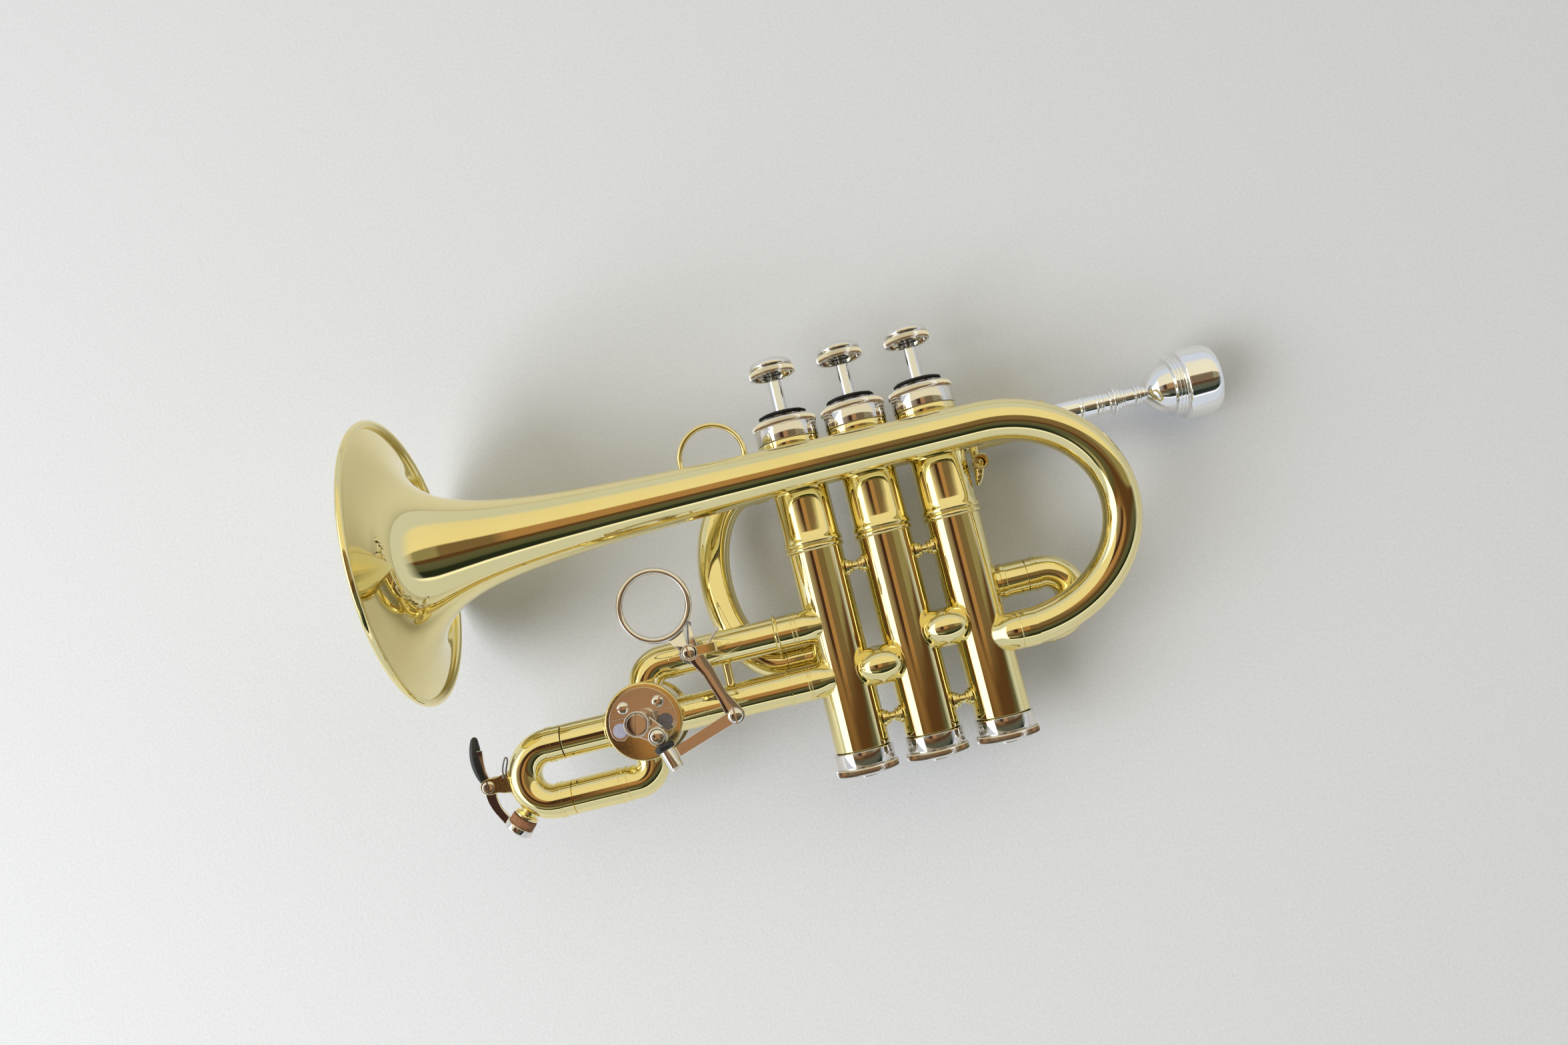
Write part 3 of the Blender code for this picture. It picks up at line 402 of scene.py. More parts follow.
def strip(name, mat, body, nodes, path, half_w, thick, side=(0, 1, 0), bevel=0.12, sharp=35.0):
    """A flat strip bent along a path; side is the direction of its width."""
    pts = [np.array(p, float) for p in path]
    n = len(pts)
    hw = list(half_w) if isinstance(half_w, (list, tuple)) else [half_w] * n
    s0 = np.array(side, float)
    bm = bmesh.new()
    rows = []
    for i in range(n):
        t = pts[min(i + 1, n - 1)] - pts[max(i - 1, 0)]
        t /= np.linalg.norm(t)
        s = s0 - t * np.dot(s0, t)
        s /= np.linalg.norm(s)
        nrm = np.cross(t, s)
        rows.append([bm.verts.new(P(*(pts[i] + s * hw[i] * a + nrm * thick / 2 * b))) for a, b in ((-1, -1), (1, -1), (1, 1), (-1, 1))])
    for a, b in zip(rows[:-1], rows[1:]):
        for k in range(4):
            bm.faces.new((a[k], a[(k + 1) % 4], b[(k + 1) % 4], b[k]))
    bm.faces.new(list(reversed(rows[0])))
    bm.faces.new(rows[-1])
    bmesh.ops.recalc_face_normals(bm, faces=bm.faces)
    return finish_mesh(name, bm, mat, body, nodes, bevel, 0.0, sharp)


def screw_head(name, mat, body, x, y, z, r, side, dome, slots, slot_w, slot_d, nodes=(), steps=48):
    """A screw head with a low dome and real slots; slots are directions in degrees."""
    prof = [(r * 0.94, 0.0), (r, 0.06), (r, side)]
    for k in range(1, 9):
        a = math.pi / 2 * k / 8
        prof.append((r * math.cos(a) if k < 8 else 0.0, side + dome * math.sin(a)))
    obj = lathe(name, mat, body, nodes, prof, (x, y, z), (0, 0, 1), None, steps, None, 0.05)
    top = z + side + dome
    for ang in slots:
        bpy.ops.mesh.primitive_cube_add(size=1)
        cut = bpy.context.object
        cut.dimensions = ((r * 2.6 if len(slots) == 1 else r * 1.15) * 0.001, slot_w * 0.001, slot_d * 2 * 0.001)
        cut.rotation_euler = (0, 0, math.radians(ang))
        cut.location = P(x, y, top)
        bpy.context.view_layer.update()
        mod = obj.modifiers.new("slot", "BOOLEAN")
        mod.operation = "DIFFERENCE"
        mod.object = cut
        bpy.context.view_layer.objects.active = obj
        bpy.ops.object.modifier_apply(modifier="slot")
        bpy.data.objects.remove(cut, do_unlink=True)
    obj.data.shade_smooth()
    obj.data.set_sharp_from_angle(angle=math.radians(35))
    return obj


def knurl_ring(name, mat, body, nodes, prof, origin, axis, teeth, depth, steps_per=4):
    """A turned ring whose marked stations are milled with straight teeth."""
    share = [p[2] if len(p) > 2 else 0.0 for p in prof]
    verts, faces = turned_data([(p[0], p[1]) for p in prof], origin, axis, teeth * steps_per, False,
                               lambda i, a: -depth * share[i] * (0.5 - 0.5 * math.cos(a * teeth)) ** 0.7)
    return add_object(name, verts, faces, mat, body, nodes, 30)


def ellipsoid(name, mat, body, nodes, centre, size, rings=32, sides=64, tilt=0.0):
    """A smooth bean; tilt turns it about Z through its centre, in degrees."""
    c, s = math.cos(math.radians(tilt)), math.sin(math.radians(tilt))
    verts, faces = [], []
    for a in range(rings + 1):
        th = math.pi * a / rings
        for b in range(sides):
            ph = math.tau * b / sides
            x, y, z = size[0] * math.cos(th), size[1] * math.sin(th) * math.cos(ph), size[2] * math.sin(th) * math.sin(ph)
            verts.append(P(centre[0] + x * c - y * s, centre[1] + x * s + y * c, centre[2] + z))
    for a in range(rings):
        for b in range(sides):
            b2 = (b + 1) % sides
            faces.append((a * sides + b, a * sides + b2, (a + 1) * sides + b2, (a + 1) * sides + b))
    return add_object(name, verts, faces, mat, body, nodes, 70)


# ------------------------------------------------------------------ bell and bell bow
BELL_Y, BELL_Z, RIM_X = -0.4, 19.0, -163.4


def bell_radius(d):
    return 4.6 + 45.2 / (1.0 + d / 5.0) ** 0.75


def bell_slope(d):
    return 45.2 * 0.75 / 5.0 / (1.0 + d / 5.0) ** 1.75


outer = []
for k in range(21):
    a = math.radians(-90 + 290 * k / 20)
    outer.append((48.82 + 1.28 * math.cos(a), -162.75 + 1.25 * math.sin(a)))
d = 1.2
while d < 199.7:
    outer.append((bell_radius(d), RIM_X + d))
    d += 0.35 + d * 0.045
outer.append((bell_radius(199.7), 36.3))
inner = [(48.4, -163.9)]
d = 0.3
while d < 199.7:
    s = bell_slope(d)
    ln = math.hypot(1, s)
    inner.append((bell_radius(d) - 0.7 / ln, RIM_X + d - 0.7 * s / ln))
    d += 0.35 + d * 0.06
inner.append((bell_radius(199.7) - 0.7, 36.3))
verts, faces = turned_data(outer + list(reversed(inner)), (0, BELL_Y, BELL_Z), (1, 0, 0), 192, True)
add_object("bell_shell", verts, faces, BRASS_X, "body", ["bell"], 60)

pts, rad = [(35.0, BELL_Y, BELL_Z), (36.5, BELL_Y, BELL_Z)], [7.44, 7.4]
for k in range(0, 73):
    a = math.radians(90.0 - 176.0 * k / 72)
    t = k / 72
    y = -36.0 + 35.6 * math.sin(a)
    pts.append((38.5 + 41.9 * math.cos(a), y - 0.1 * t, 8.0 + 11.0 * (y + 71.6) / 71.2))
    rad.append(6.35 + 1.05 * (1.0 - t) ** 1.5)
tube("bell_bow_tube", BRASS, "body", ["bell_bow"], pts, rad, 64)


def knuckle(centre_x, side, y, theta, bend, reach=10.6, count=14):
    s, c = math.sin(math.radians(theta)), math.cos(math.radians(theta))
    top_z = reach * c + bend * (1.0 - s)
    start_x = centre_x + side * (reach * s + bend * c)
    out = []
    for k in range(count + 1):
        phi = math.radians((90.0 - theta) * k / count)
        out.append((start_x - side * bend * math.sin(phi), y, top_z - bend * (1.0 - math.cos(phi))))
    last = np.array(out[-1])
    end = np.array((centre_x + side * 5.5 * s, y, 5.5 * c))
    for k in range(1, 7):
        out.append(tuple(last + (end - last) * k / 6))
    return out


kn = knuckle(25.0, 1, -71.7, 52, 6.7, 10.7)
kz = kn[0][2]
k_pts = [(43.4, -71.7, 8.0), (42.85, -71.7, 8.0), (42.8, -71.7, 8.0), (42.5, -71.7, 8.0), (42.45, -71.7, 8.0), (42.1, -71.7, 8.0),
         (37.75, -71.7, kz)]
k_rad = [6.2, 6.2, 6.25, 6.25, 6.52, 6.58, 6.58]
tube("tail_knuckle", BRASS, "body", ["bell_tail_knuckle"], k_pts + kn, k_rad + [6.5] * len(kn), 64)
braze_line("tail_braze", "body", tube_rings(k_pts + kn, k_rad + [6.5] * len(kn), 64), 25.0, 0.0, 9.8)
band("tail_seam", "body", 36.6, -71.7, kz - 0.05, 6.5, 0.5, 0.16)

# ------------------------------------------------------------------ valves
VALVE_X = (25.0, 0.0, -25.0)
rnd = random.Random(11)
for i, x in enumerate(VALVE_X):
    n = i + 1
    body = "valve_%d" % n
    lathe("casing_%d" % n, BRASS_Y, "body", ["valve_casing_%d" % n],
          [(9.2, -102.5), (9.2, -98.9), (9.75, -98.7), (9.75, -28.3), (10.35, -28.1), (10.6, -27.6), (10.6, -27.1), (10.4, -26.6),
           (9.8, -26.45), (9.8, -26.1), (10.45, -25.95), (10.65, -25.4), (10.6, -24.8), (10.35, -24.2), (10.1, -23.2),
           (10.0, -21.5), (10.0, 3.6), (10.35, 4.6), (10.9, 6.2), (10.9, 8.9), (10.6, 9.1), (10.6, 9.4), (11.15, 9.6),
           (11.15, 11.9), (10.3, 11.95), (10.3, 14.5)], (x, 0, 0), (0, 1, 0), [(8.7, -102.5), (8.7, 14.5)], 112, None, 0.18)
    knurl_ring("cap_top_%d" % n, NICKEL, "body", ["top_cap_%d" % n],
               [(10.5, 12.0), (11.2, 12.1), (11.3, 12.35), (11.3, 16.8), (11.2, 17.05), (11.0, 17.15), (11.0, 17.35), (11.2, 17.5),
                (11.45, 17.75, 0.8), (11.55, 18.2, 1), (11.55, 19.0, 1), (11.4, 19.5, 0.8), (11.1, 19.9), (10.6, 20.25), (9.7, 20.55),
                (9.35, 20.85), (8.7, 21.35), (8.2, 21.6), (6.7, 21.65), (3.2, 21.65), (3.0, 21.5), (3.0, 14.9), (10.5, 14.9),
                (10.5, 12.0)], (x, 0, 0), (0, 1, 0), 140, 0.34)
    knurl_ring("cap_bottom_%d" % n, NICKEL, "body", ["bottom_cap_%d" % n],
               [(0.0, -108.5), (3.9, -108.5), (4.2, -108.3), (4.3, -107.5), (9.9, -107.4), (10.4, -107.15), (10.8, -106.8, 0.8),
                (10.95, -106.3, 1), (10.95, -105.1, 1), (10.8, -104.75, 0.8), (10.3, -104.5), (10.05, -104.4), (10.05, -104.15),
                (10.3, -104.0), (10.4, -103.8), (10.4, -99.35), (10.3, -99.2), (9.5, -99.2), (9.5, -103.2), (0.0, -103.2)],
               (x, 0, 0), (0, 1, 0), 130, 0.34)
    lathe("piston_body_%d" % n, NICKEL, body, ["piston_%d" % n],
          [(8.35, -86.0), (8.35, 2.0), (2.4, 2.3), (2.4, 20.0)], (x, 0, 0), (0, 1, 0), None, 64)
    lathe("piston_stem_%d" % n, STEM, body, [], [(2.3, 12.0), (2.45, 14.0), (2.45, 39.2)], (x, 0, 0), (0, 1, 0), None, 48)
    lathe("felt_washer_%d" % n, FELT, "body", ["cap_felt_%d" % n],
          [(8.2, 21.7), (8.65, 21.95), (8.6, 22.4), (8.1, 22.65)], (x, 0, 0), (0, 1, 0), [(2.75, 21.7), (2.75, 22.65)], 90,
          lambda j, a, s=i: 0.10 * math.sin(9 * a + s) + 0.07 * math.sin(23 * a + 2.1 * s) if 0.5 < j < 14 else 0.0, 0.2)
    fv, ff = [], []
    for k in range(110):
        a = rnd.uniform(0, math.tau)
        r0 = rnd.uniform(3.2, 8.5)
        p0 = np.array((r0 * math.cos(a), 22.5 if r0 < 8.0 else 22.2, r0 * math.sin(a)))
        out_dir = np.array((math.cos(a), 0.0, math.sin(a)))
        side_dir = np.array((-math.sin(a), 0.0, math.cos(a)))
        ln = rnd.uniform(0.5, 1.3)
        d0 = out_dir * rnd.uniform(-0.3, 0.9) + side_dir * rnd.uniform(-1, 1) + np.array((0, rnd.uniform(0.15, 0.8), 0))
        d0 /= np.linalg.norm(d0)
        d1 = d0 + side_dir * rnd.uniform(-0.8, 0.8)
        path = [p0, p0 + d0 * ln * 0.5, p0 + d0 * ln * 0.5 + d1 / np.linalg.norm(d1) * ln * 0.5]
        base = len(fv)
        for q, rr in zip(tube_rings(path, [0.035, 0.03, 0.012], 4), range(3)):
            fv += [P(x + w[0], w[1], w[2]) for w in q]
        for m in range(2):
            for s in range(4):
                s2 = (s + 1) % 4
                ff.append((base + m * 4 + s, base + m * 4 + s2, base + m * 4 + 4 + s2, base + m * 4 + 4 + s))
        ff.append(tuple(base + s for s in (3, 2, 1, 0)))
        ff.append(tuple(base + 8 + s for s in range(4)))
    add_object("felt_fibres_%d" % n, fv, ff, FELT, "body", [], 60)
    knurl_ring("button_%d" % n, NICKEL, body, ["finger_button_%d" % n],
               [(0.0, 38.3), (2.6, 38.3), (2.9, 38.5), (6.3, 38.9), (7.0, 38.8), (7.3, 38.5), (7.35, 37.2), (7.5, 37.0), (7.95, 36.95),
                (8.15, 37.05, 0.5), (8.3, 37.4, 1), (8.3, 38.8, 1), (8.15, 39.1, 0.6), (7.85, 39.3), (7.6, 39.5), (7.75, 39.75),
                (7.9, 40.05), (7.88, 40.6), (7.7, 41.2), (7.3, 41.85), (6.6, 42.4), (5.4, 42.9), (3.5, 43.2), (1.5, 43.28),
                (0.0, 43.3)], (x, 0, 0), (0, 1, 0), 110, 0.30)
    coil = []
    for k in range(141):
        a = math.tau * k / 20
        coil.append((x + 6.2 * math.cos(a), -102.1 + 15.2 * k / 140, 6.2 * math.sin(a)))
    tube("spring_coil_%d" % n, STEEL, "body", ["valve_spring_%d" % n], coil, 0.45, 10)

# transfer knuckles: smooth beans between the casings, with the bright line of solder round them
for name, cx, cy, node in (("bean_12", 12.5, -64.9, "transfer_knuckle_12"), ("bean_23", -12.5, -72.3, "transfer_knuckle_23")):
    size = (9.2, 7.0, 8.4)
    ellipsoid(name, BRASS, "body", [node], (cx, cy, 6.0), size)
    for side in (-1, 1):
        loop = []
        for b in range(64):
            ph = math.tau * b / 64
            lo, hi = 0.0, math.pi / 2
            for _ in range(30):
                th = 0.5 * (lo + hi)
                ox = side * size[0] * math.cos(th)
                oz = 6.0 + size[2] * math.sin(th) * math.sin(ph)
                if math.hypot(ox - side * 12.5, oz) < 9.8:
                    lo = th
                else:
                    hi = th
            loop.append((cx + side * size[0] * math.cos(th), cy + size[1] * math.sin(th) * math.cos(ph),
                         6.0 + size[2] * math.sin(th) * math.sin(ph)))
        loop_wire("%s_braze_%s" % (name, "l" if side < 0 else "r"), BRASS, "body", loop, 0.16)
for name, cx, cy, node in (("brace_a", 12.5, -36.5, "casing_brace_upper_12"), ("brace_b", -12.5, -36.5, "casing_brace_upper_23"),
                           ("brace_c", 12.5, -90.3, "casing_brace_lower_12"), ("brace_d", -12.5, -90.5, "casing_brace_lower_23")):
    lathe(name, BRASS, "body", [node], [(3.15, -3.5), (3.15, -2.35), (2.75, -2.2), (2.3, -2.1), (2.3, -1.9), (2.55, -1.75), (2.55, -1.35),
                                       (2.2, -1.15), (1.7, -0.8), (1.6, 0.0), (1.7, 0.8), (2.2, 1.15), (2.55, 1.35), (2.55, 1.75),
                                       (2.3, 1.9), (2.3, 2.1), (2.75, 2.2), (3.15, 2.35), (3.15, 3.5)],
          (cx, cy, 1.5), (1, 0, 0), None, 48, None, 0.15)

# ------------------------------------------------------------------ leadpipe, receiver, mouthpiece
LEAD_Y, LEAD_Z = 1.5, -17.9
lathe("lead_tube", BRASS_X, "body", ["leadpipe"], [(6.2, -43.0), (6.2, -37.4), (4.9, -36.8), (4.9, 44.8)], (0, LEAD_Y, LEAD_Z),
      (1, 0, 0), [(5.5, -43.0), (5.5, -37.0), (3.9, -36.0), (3.9, 44.8)], 64)
lathe("receiver", BRASS_X, "body", ["mouthpiece_receiver"],
      [(6.4, 38.3), (6.4, 42.0), (6.0, 43.0), (6.0, 66.0), (6.9, 67.0), (6.9, 70.4), (6.4, 71.2)], (0, LEAD_Y, LEAD_Z), (1, 0, 0),
      [(5.3, 38.3), (5.3, 45.1), (4.9, 45.2), (4.9, 71.2)], 64)
mouth_outer = [(4.0, 47.0), (4.45, 71.5), (4.25, 82.8), (4.72, 83.2), (4.75, 83.8), (4.25, 84.2), (4.0, 89.0), (4.5, 89.35),
               (4.5, 90.05), (4.0, 90.3), (4.0, 90.7), (4.45, 90.95), (4.45, 91.55), (3.85, 91.8), (3.7, 94.0), (4.5, 94.3),
               (4.5, 95.0), (4.05, 95.2), (5.3, 95.55), (5.35, 96.45), (4.05, 96.8), (4.05, 97.15), (4.55, 97.4), (4.55, 98.05),
               (3.6, 98.35), (3.55, 98.85), (3.95, 99.05), (3.95, 99.65), (3.4, 99.9), (3.25, 103.6), (4.1, 103.95),
               (4.1, 104.6), (3.35, 104.85), (3.35, 105.1), (4.0, 105.35), (4.0, 106.0), (3.05, 106.35), (3.0, 106.9),
               (3.1, 107.4), (3.9, 107.9), (5.2, 108.9), (6.6, 110.2), (7.8, 111.6), (8.6, 113.4), (9.0, 115.0), (9.2, 116.8),
               (10.85, 117.0), (10.95, 118.0), (10.45, 118.1), (10.45, 118.25), (10.95, 118.35), (10.95, 119.4), (10.45, 119.48),
               (10.45, 119.6), (10.9, 119.7), (10.9, 120.5), (12.6, 120.8), (13.1, 121.5), (13.2, 122.6), (13.2, 129.4),
               (13.0, 130.8), (12.5, 132.3), (11.8, 133.5), (11.0, 134.0)]
mouth_inner = [(3.2, 47.0), (1.8, 100.0), (1.8, 117.0), (2.6, 118.6), (5.4, 122.5), (7.2, 126.5), (8.2, 130.6), (8.6, 132.8),
               (9.4, 133.7)]
lathe("mouthpiece_shell", SILVER, "mouthpiece", ["mouthpiece"], mouth_outer, (0, LEAD_Y, LEAD_Z), (1, 0, 0), mouth_inner, 112,
      None, 0.3)

# ------------------------------------------------------------------ finger ring, socket
tube("finger_ring", BRASS, "body", ["little_finger_ring"], [(x, y, 15.0) for x, y in arc(-52.2, 10.7, 11.3, -12, 192, 72)], 0.95, 24)
lathe("socket_cup", BRASS, "body", ["lyre_socket"], [(0.0, -6.0), (2.75, -6.0), (2.75, 6.5), (2.05, 6.5), (2.0, 6.2), (2.0, 0.0)],
      (38.9, -11.5, 0), (0, 0, 1), None, 56, None, 0.12)
lathe("socket_pin", BRASS, "body", [], [(0.95, -0.5), (0.95, 5.6), (0.6, 6.0)], (38.9, -11.5, 0), (0, 0, 1), None, 32, None, 0.1)
tube("socket_stay", BRASS, "body", [], catmull([(38.9, -10.0, -3.0), (38.9, -5.0, -2.6), (38.9, 0.4, -2.0)], 6), 1.5, 24)
lathe("socket_column", BRASS, "body", [], [(2.9, -11.6), (2.6, -11.0), (1.9, -9.6), (1.9, 8.6), (2.8, 10.4), (3.4, 11.4)],
      (38.9, 0.4, 0), (0, 0, 1), None, 40)
tube("socket_foot", BRASS, "body", [], catmull([(38.7, -12.0, 2.0), (38.1, -14.5, 2.0), (37.2, -17.4, 2.0), (36.3, -19.5, 2.0)], 6),
     [1.9] * 3 + [1.8] * 4 + [1.6] * 4 + [1.3] * 3 + [1.0] * 2 + [0.7, 0.5, 0.3], 24)

# ------------------------------------------------------------------ slides
lathe("main_leg_tube", BRASS_X, "body", ["main_slide_leg"],
      [(5.95, -43.4), (6.15, -43.3), (6.15, -42.3), (6.05, -42.1), (6.05, -37.5), (5.8, -37.4), (5.8, -37.1), (6.05, -37.0),
       (6.1, -28.0)], (0, -63.5, -5.0), (1, 0, 0), [(5.5, -43.4), (5.5, -28.0)], 64, None, 0.1)
pts = [(-37.4, LEAD_Y, LEAD_Z), (-43.2, LEAD_Y, LEAD_Z), (-43.3, LEAD_Y, LEAD_Z)]
rad = [5.2, 5.2, 5.95]
for k in range(65):
    a = math.radians(90.0 + 180.0 * k / 64)
    y = -31.0 + 32.5 * math.sin(a)
    pts.append((-44.4 + 18.4 * math.cos(a), y, -5.0 + (LEAD_Z + 5.0) * (y + 63.5) / 65.0))
    rad.append(5.95)
pts += [(-43.6, -63.5, -5.0), (-43.5, -63.5, -5.0), (-36.6, -63.5, -5.0)]
rad += [5.95, 5.2, 5.2]
tube("main_bow", BRASS, "main_slide", ["main_tuning_bow"], pts, rad, 64)
band("main_bow_bead", "main_slide", -44.6, LEAD_Y, LEAD_Z, 5.95, 1.0, 0.35)

Z1 = -6.8
for name, y, node in (("first_tube_a", -54.0, "first_slide_tube_upper"), ("first_tube_b", -72.8, "first_slide_tube_lower")):
    lathe(name, BRASS_X, "body", [node], [(6.0, 28.0), (6.0, 36.4), (6.4, 36.5), (6.4, 38.2), (6.1, 38.35), (6.1, 45.75)], (0, y, Z1),
          (1, 0, 0), [(5.5, 28.0), (5.5, 45.75)], 72, None, 0.1)
pts = [(37.0, -54.0, Z1), (46.0, -54.0, Z1), (46.05, -54.0, Z1), (48.4, -54.0, Z1), (48.45, -54.0, Z1), (49.0, -54.0, Z1),
       (49.05, -54.0, Z1), (49.6, -54.0, Z1), (49.65, -54.0, Z1), (50.3, -54.0, Z1), (50.35, -54.0, Z1)]
rad = [5.2, 5.2, 6.0, 6.0, 6.25, 6.25, 6.0, 6.0, 6.25, 6.25, 5.9]
low = [(x, -72.8, z) for x, y, z in reversed(pts)]
lrad = list(reversed(rad))
pts += [(x, y, Z1) for x, y in arc(51.2, -63.4, 9.4, 90, -90, 48)]
rad += [5.9] * 49
tube("first_bow", BRASS, "first_slide", ["first_slide_bow"], pts + low, rad + lrad, 64)

for name, y, node in (("second_tube_a", -54.0, "second_slide_tube_upper"), ("second_tube_b", -73.0, "second_slide_tube_lower")):
    lathe(name, BRASS, "body", [node], [(6.35, -13.2), (6.35, -12.2), (6.1, -12.0), (6.1, -4.0)], (0, y, 0), (0, 0, 1),
          [(5.5, -13.2), (5.5, -4.0)], 64, None, 0.1)
pts = [(0, -54.0, -10.4), (0, -54.0, -13.4), (0, -54.0, -13.5), (0, -54.0, -14.2), (0, -54.0, -14.3)]
pts += [(0, y, z) for y, z in arc(-63.5, -15.6, 9.5, 0, -180, 40)]
pts += [(0, -73.0, -14.3), (0, -73.0, -14.2), (0, -73.0, -13.5), (0, -73.0, -13.4), (0, -73.0, -10.4)]
tube("second_bow", BRASS, "second_slide", ["second_slide_bow"], pts, [5.2, 5.2, 6.0, 6.0] + [5.9] * 43 + [6.0, 6.0, 5.2, 5.2], 56)

# ------------------------------------------------------------------ third branch
ZB = 6.0


def stepped(pts, rad, y, z, stations):
    for x, r in stations:
        pts.append((x, y, z))
        rad.append(r)


pts = list(reversed(knuckle(-25.0, -1, -53.8, 61, 6.5)))
rad = [6.05] * len(pts)
braze_line("branch_top_braze", "body", list(reversed(tube_rings(pts, rad, 64))), -25.0, 0.0, 9.8)
stepped(pts, rad, -53.8, ZB, [(-38.9, 6.05), (-44.3, 6.0), (-60.0, 6.0), (-81.4, 6.0), (-81.45, 6.18), (-81.95, 6.18), (-82.0, 6.05),
                              (-83.1, 6.05), (-83.15, 6.18), (-83.6, 6.18), (-83.65, 6.0), (-85.2, 6.0)])
for x, y in arc(-85.5, -61.8, 8.0, 90, 180, 32):
    pts.append((x, y, ZB))
    rad.append(6.0)
pts.append((-93.5, -64.5, ZB))
rad.append(6.0)
tube("branch_top", BRASS_X, "body", ["third_branch_upper"], pts, rad, 64)
band("branch_top_ring", "body", -44.9, -53.8, ZB, 6.0, 1.7, 1.0)
band("branch_top_bead_a", "body", -39.2, -53.8, ZB, 6.05, 0.6, 0.3)
band("branch_top_bead_b", "body", -37.9, -53.8, ZB, 6.05, 0.6, 0.3)
pts = list(reversed(knuckle(-25.0, -1, -72.6, 61, 6.5)))
rad = [6.2] * len(pts)
braze_line("branch_bottom_braze", "body", list(reversed(tube_rings(pts, rad, 64))), -25.0, 0.0, 9.8)
stepped(pts, rad, -72.6, ZB, [(-38.2, 6.2), (-44.0, 6.2), (-44.1, 6.4), (-44.9, 6.4), (-45.0, 6.05), (-60.0, 6.0), (-73.4, 6.0),
                              (-73.45, 5.8), (-73.75, 5.8), (-73.8, 5.92), (-78.2, 5.92), (-78.25, 6.1), (-78.8, 6.1), (-78.85, 5.92),
                              (-79.9, 5.92), (-79.95, 6.1), (-80.6, 6.1), (-80.65, 5.9), (-86.0, 5.9)])
tube("branch_bottom", BRASS_X, "body", ["third_branch_lower"], pts, rad, 64)
band("branch_bottom_bead_a", "body", -37.9, -72.6, ZB, 6.2, 0.5, 0.25)
band("branch_bottom_bead_b", "body", -37.0, -72.6, ZB - 0.05, 6.2, 0.4, 0.25)
lathe("branch_post", BRASS, "body", [], [(2.4, -6.6), (2.3, -4.6), (1.6, -4.2), (1.5, 0.0), (1.6, 4.2), (2.3, 4.6), (2.4, 6.6)],
      (-64.4, -63.2, 6.0), (0, 1, 0), None, 40)

# ------------------------------------------------------------------ rotary valve
RX, RY = -95.1, -71.8
PX, PY = -89.0, -77.0
lathe("rotor_shell", BRASS, "body", ["rotor_casing"], [(12.6, -7.8), (12.6, 13.5)], (RX, RY, 0), (0, 0, 1),
      [(10.3, -7.8), (10.3, 13.5)], 112)
knurl_ring("rotor_cap_front", BRASS_CAP, "body", ["rotor_front_cap"],
           [(2.6, 13.8), (12.9, 13.8), (13.15, 14.0, 1), (13.3, 14.3, 1), (13.3, 15.7, 1), (13.15, 16.0, 0.6), (12.85, 16.15), (12.5, 16.2),
            (2.6, 16.2), (2.6, 13.8)], (RX, RY, 0), (0, 0, 1), 140, 0.25)
knurl_ring("rotor_cap_back", BRASS_CAP, "body", ["rotor_back_cap"],
           [(0.0, -10.8), (12.3, -10.75), (12.8, -10.5), (13.15, -10.2, 1), (13.3, -9.9, 1), (13.3, -8.7, 1), (13.1, -8.3), (12.7, -8.1),
            (0.0, -8.1)], (RX, RY, 0), (0, 0, 1), 140, 0.25)
lathe("rotor_core", NICKEL, "rotor", ["rotor"], [(9.9, -7.5), (9.9, 13.2), (2.2, 13.4), (2.2, 18.6)], (RX, RY, 0), (0, 0, 1), None, 64)
plate_outline = [(x, y) for x, y in arc(RX, RY, 11.5, -14, 194, 64)]
plate_outline += [(RX - 9.9, RY - 4.3), (RX - 7.6, RY - 4.9), (RX - 5.5, RY - 3.2), (RX - 3.8, RY - 4.3),
                  (RX + 3.8, RY - 4.3), (RX + 5.5, RY - 3.2), (RX + 7.6, RY - 4.9), (RX + 9.9, RY - 4.3)]
plate("bearing_plate", PLATE, "body", ["rotor_bearing_plate"], plate_outline, 16.4, 17.2, [(RX, RY, 2.6)], 0.12)
step_y = -69.3
half = math.degrees(math.asin((step_y - RY) / 11.5))
plate("bearing_bridge", PLATE, "body", [], [(x, y) for x, y in arc(RX, RY, 11.5, half, 180 - half, 60)], 17.1, 17.75, (), 0.12)
screw_head("plate_screw_a", NICKEL, "body", -100.61, -65.84, 17.7, 2.05, 0.45, 0.65, [5], 0.55, 0.75)
screw_head("plate_screw_b", NICKEL, "body", -88.65, -66.23, 17.7, 2.05, 0.45, 0.65, [49], 0.55, 0.75)
lathe("bumper_a", LAVENDER, "body", [], [(2.45, 16.5), (2.5, 17.0), (2.5, 17.7), (2.35, 17.9)], (-103.1, -73.0, 0), (0, 0, 1), None, 48)
lathe("bumper_b", GREY, "body", [], [(2.45, 16.5), (2.5, 17.0), (2.5, 17.7), (2.35, 17.9)], (-87.6, -73.1, 0), (0, 0, 1), None, 48)
arm_dir = math.atan2(PY - RY, PX - RX)
arm_out = []
for k in range(25):
    a = arm_dir + math.pi / 2 + math.pi * k / 24
    arm_out.append((RX + 4.1 * math.cos(a), RY + 4.1 * math.sin(a)))
for k in range(17):
    a = arm_dir - math.pi / 2 + math.pi * k / 16
    arm_out.append((PX + 2.95 * math.cos(a), PY + 2.95 * math.sin(a)))
plate("stop_arm_plate", NICKEL, "rotor", ["stop_arm"], arm_out, 26.0, 27.8, (), 0.3)
lathe("stop_hub", NICKEL, "rotor", [], [(3.9, 18.0), (4.27, 18.4), (4.27, 30.6), (4.1, 31.0), (3.75, 31.0), (3.62, 30.8), (3.62, 29.4)],
      (RX, RY, 0), (0, 0, 1), None, 72, None, 0.15)
